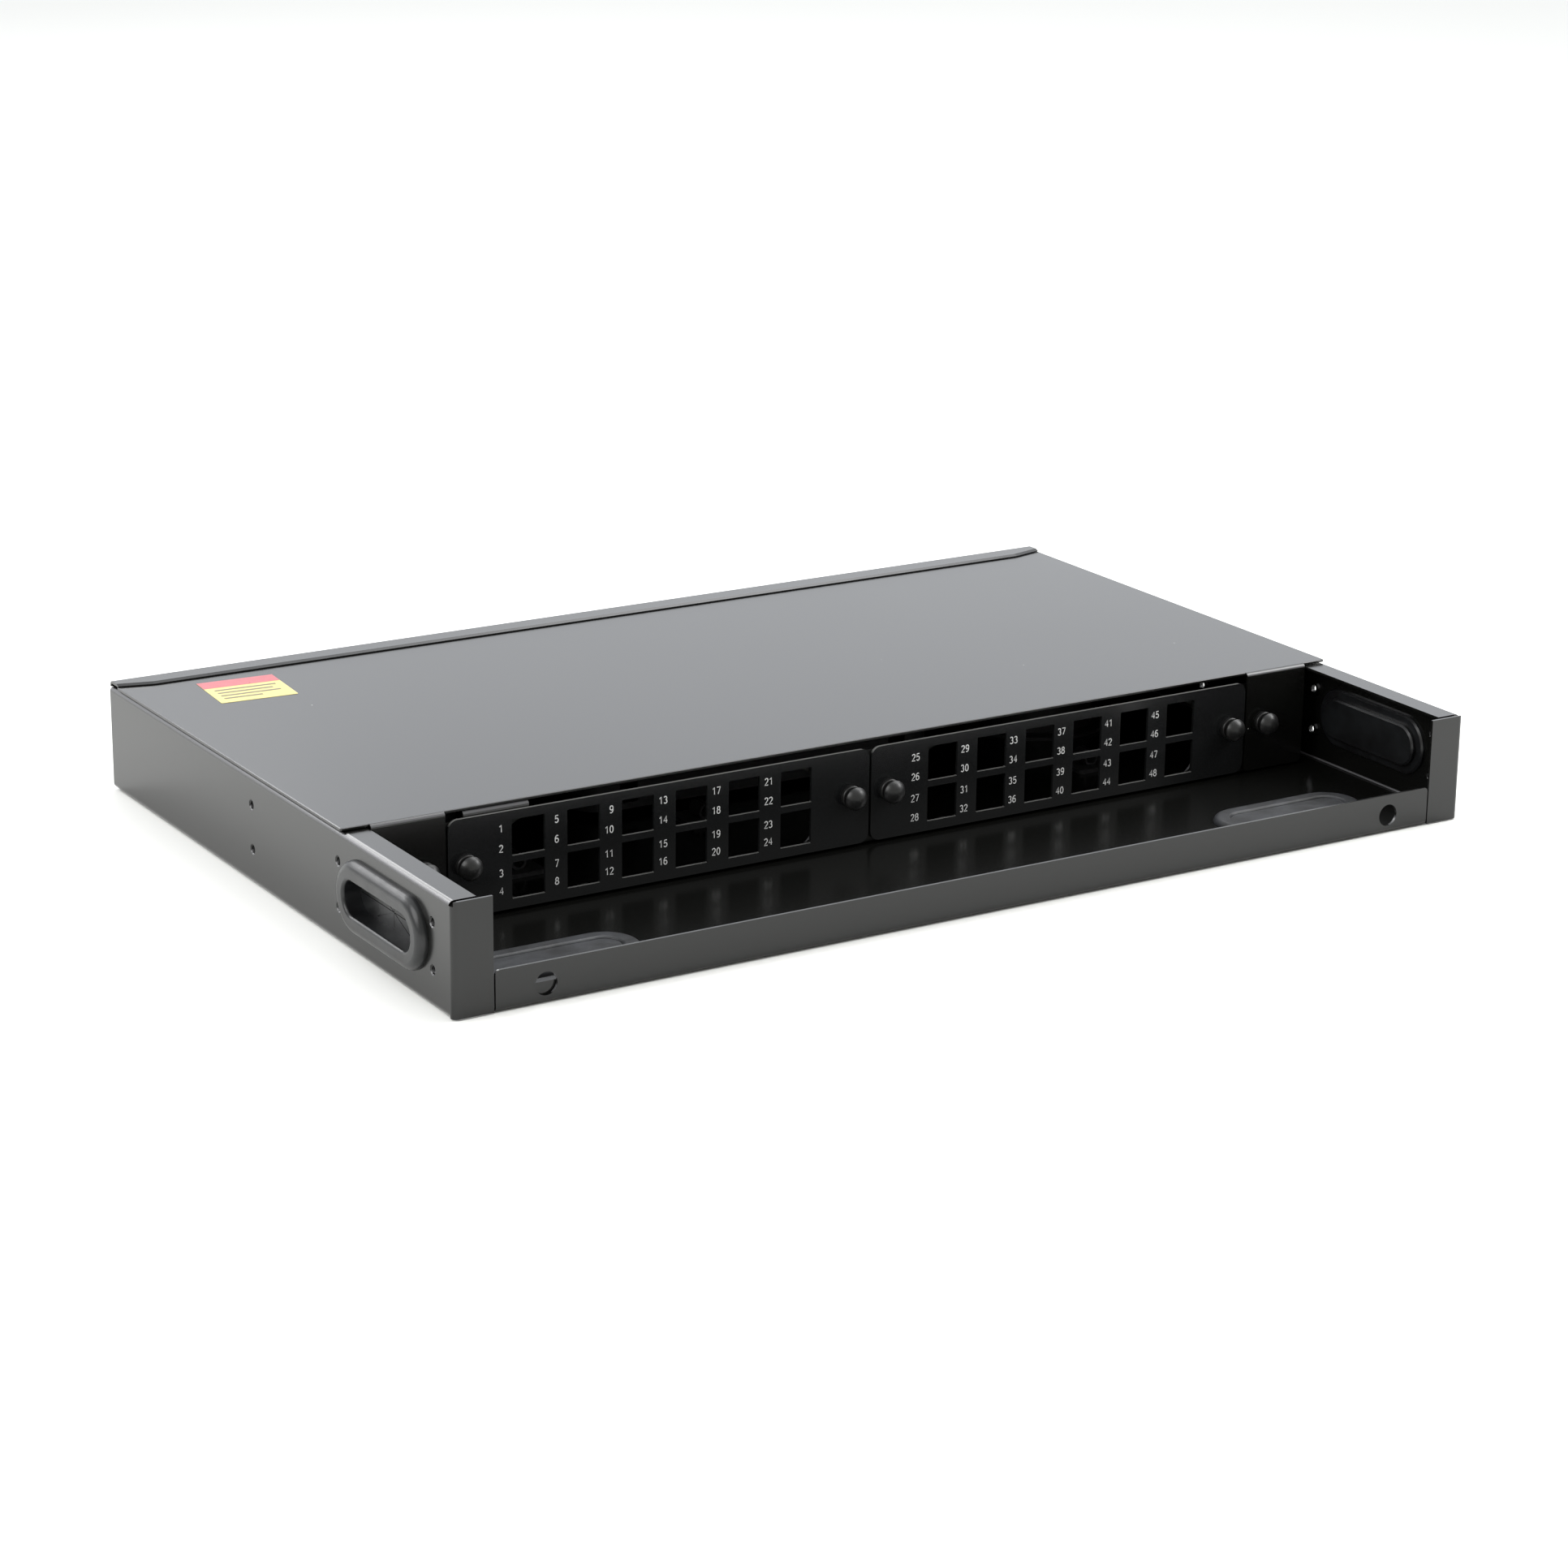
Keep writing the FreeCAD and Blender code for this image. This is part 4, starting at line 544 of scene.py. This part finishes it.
# ------------------------------------------------------------------ stage, light and camera
def stage():
    """Plain pale floor."""
    mesh = bpy.data.meshes.new("floor")
    corners = [(x * FLOOR_HALF, y * FLOOR_HALF, 0) for x, y in ((-1, -1), (1, -1), (1, 1), (-1, 1))]
    mesh.from_pydata(corners, [], [(0, 1, 2, 3)])
    material = new_material("floor_white", FLOOR_COLOR, 0.9, specular=0.1)
    floor = link_object("floor", mesh, material)
    floor.location.z = -FLOOR_DROP


def area_light(name, place, aim, size, power):
    """Soft rectangular light that points at a spot."""
    data = bpy.data.lights.new(name, "AREA")
    data.shape = "RECTANGLE"
    data.size = size[0]
    data.size_y = size[1]
    data.energy = power
    lamp = bpy.data.objects.new(name, data)
    turn = (Vector(aim) - Vector(place)).to_track_quat("-Z", "Y").to_matrix().to_4x4()
    lamp.matrix_world = Matrix.Translation(place) @ turn
    bpy.context.scene.collection.objects.link(lamp)


def world_light():
    """White surroundings: cool and brightest at the backdrop, dimmer and warmer away from it."""
    world = bpy.data.worlds.new("studio")
    world.use_nodes = True
    tree = world.node_tree
    coords = tree.nodes.new("ShaderNodeTexCoord")
    toward = tree.nodes.new("ShaderNodeVectorMath")
    toward.operation = "DOT_PRODUCT"
    toward.inputs[1].default_value = BACKDROP
    share = tree.nodes.new("ShaderNodeMapRange")
    share.inputs["From Min"].default_value = BACKDROP_EDGE
    share.inputs["From Max"].default_value = 1.0
    mix = tree.nodes.new("ShaderNodeMix")
    mix.data_type = "RGBA"
    mix.inputs["A"].default_value = (*WORLD_DIM, 1.0)
    mix.inputs["B"].default_value = (*WORLD_BRIGHT, 1.0)
    tree.links.new(coords.outputs["Generated"], toward.inputs[0])
    tree.links.new(toward.outputs["Value"], share.inputs["Value"])
    tree.links.new(share.outputs["Result"], mix.inputs["Factor"])
    tree.links.new(mix.outputs["Result"], tree.nodes["Background"].inputs["Color"])
    bpy.context.scene.world = world


def camera():
    """Camera of the main view, aimed near the middle of the box."""
    low, high = CAD_BOUNDS
    aim = (Vector(low) + Vector(high)) / 2 + AIM_OFFSET
    forward = Vector((
        -math.sin(AZIMUTH) * math.cos(ELEVATION),
        math.cos(AZIMUTH) * math.cos(ELEVATION),
        -math.sin(ELEVATION),
    ))
    data = bpy.data.cameras.new("camera")
    data.lens = LENS
    data.sensor_width = SENSOR_WIDTH
    data.clip_start = CLIP_START
    eye = bpy.data.objects.new("camera", data)
    turn = forward.to_track_quat("-Z", "Y").to_matrix().to_4x4() @ Matrix.Rotation(ROLL, 4, "Z")
    eye.matrix_world = Matrix.Translation(aim - forward * DISTANCE) @ turn
    bpy.context.scene.collection.objects.link(eye)
    bpy.context.scene.camera = eye


paint_nodes()
port_numbers("left", 1, DIGIT_ROWS_LEFT)
port_numbers("right", 1 + PORTS_PER_PLATE, DIGIT_ROWS_RIGHT)
sticker_print()
ear_threads()
stage()
world_light()
for light in LIGHTS:
    area_light(*light)
camera()
bpy.context.scene.view_settings.view_transform = "Standard"
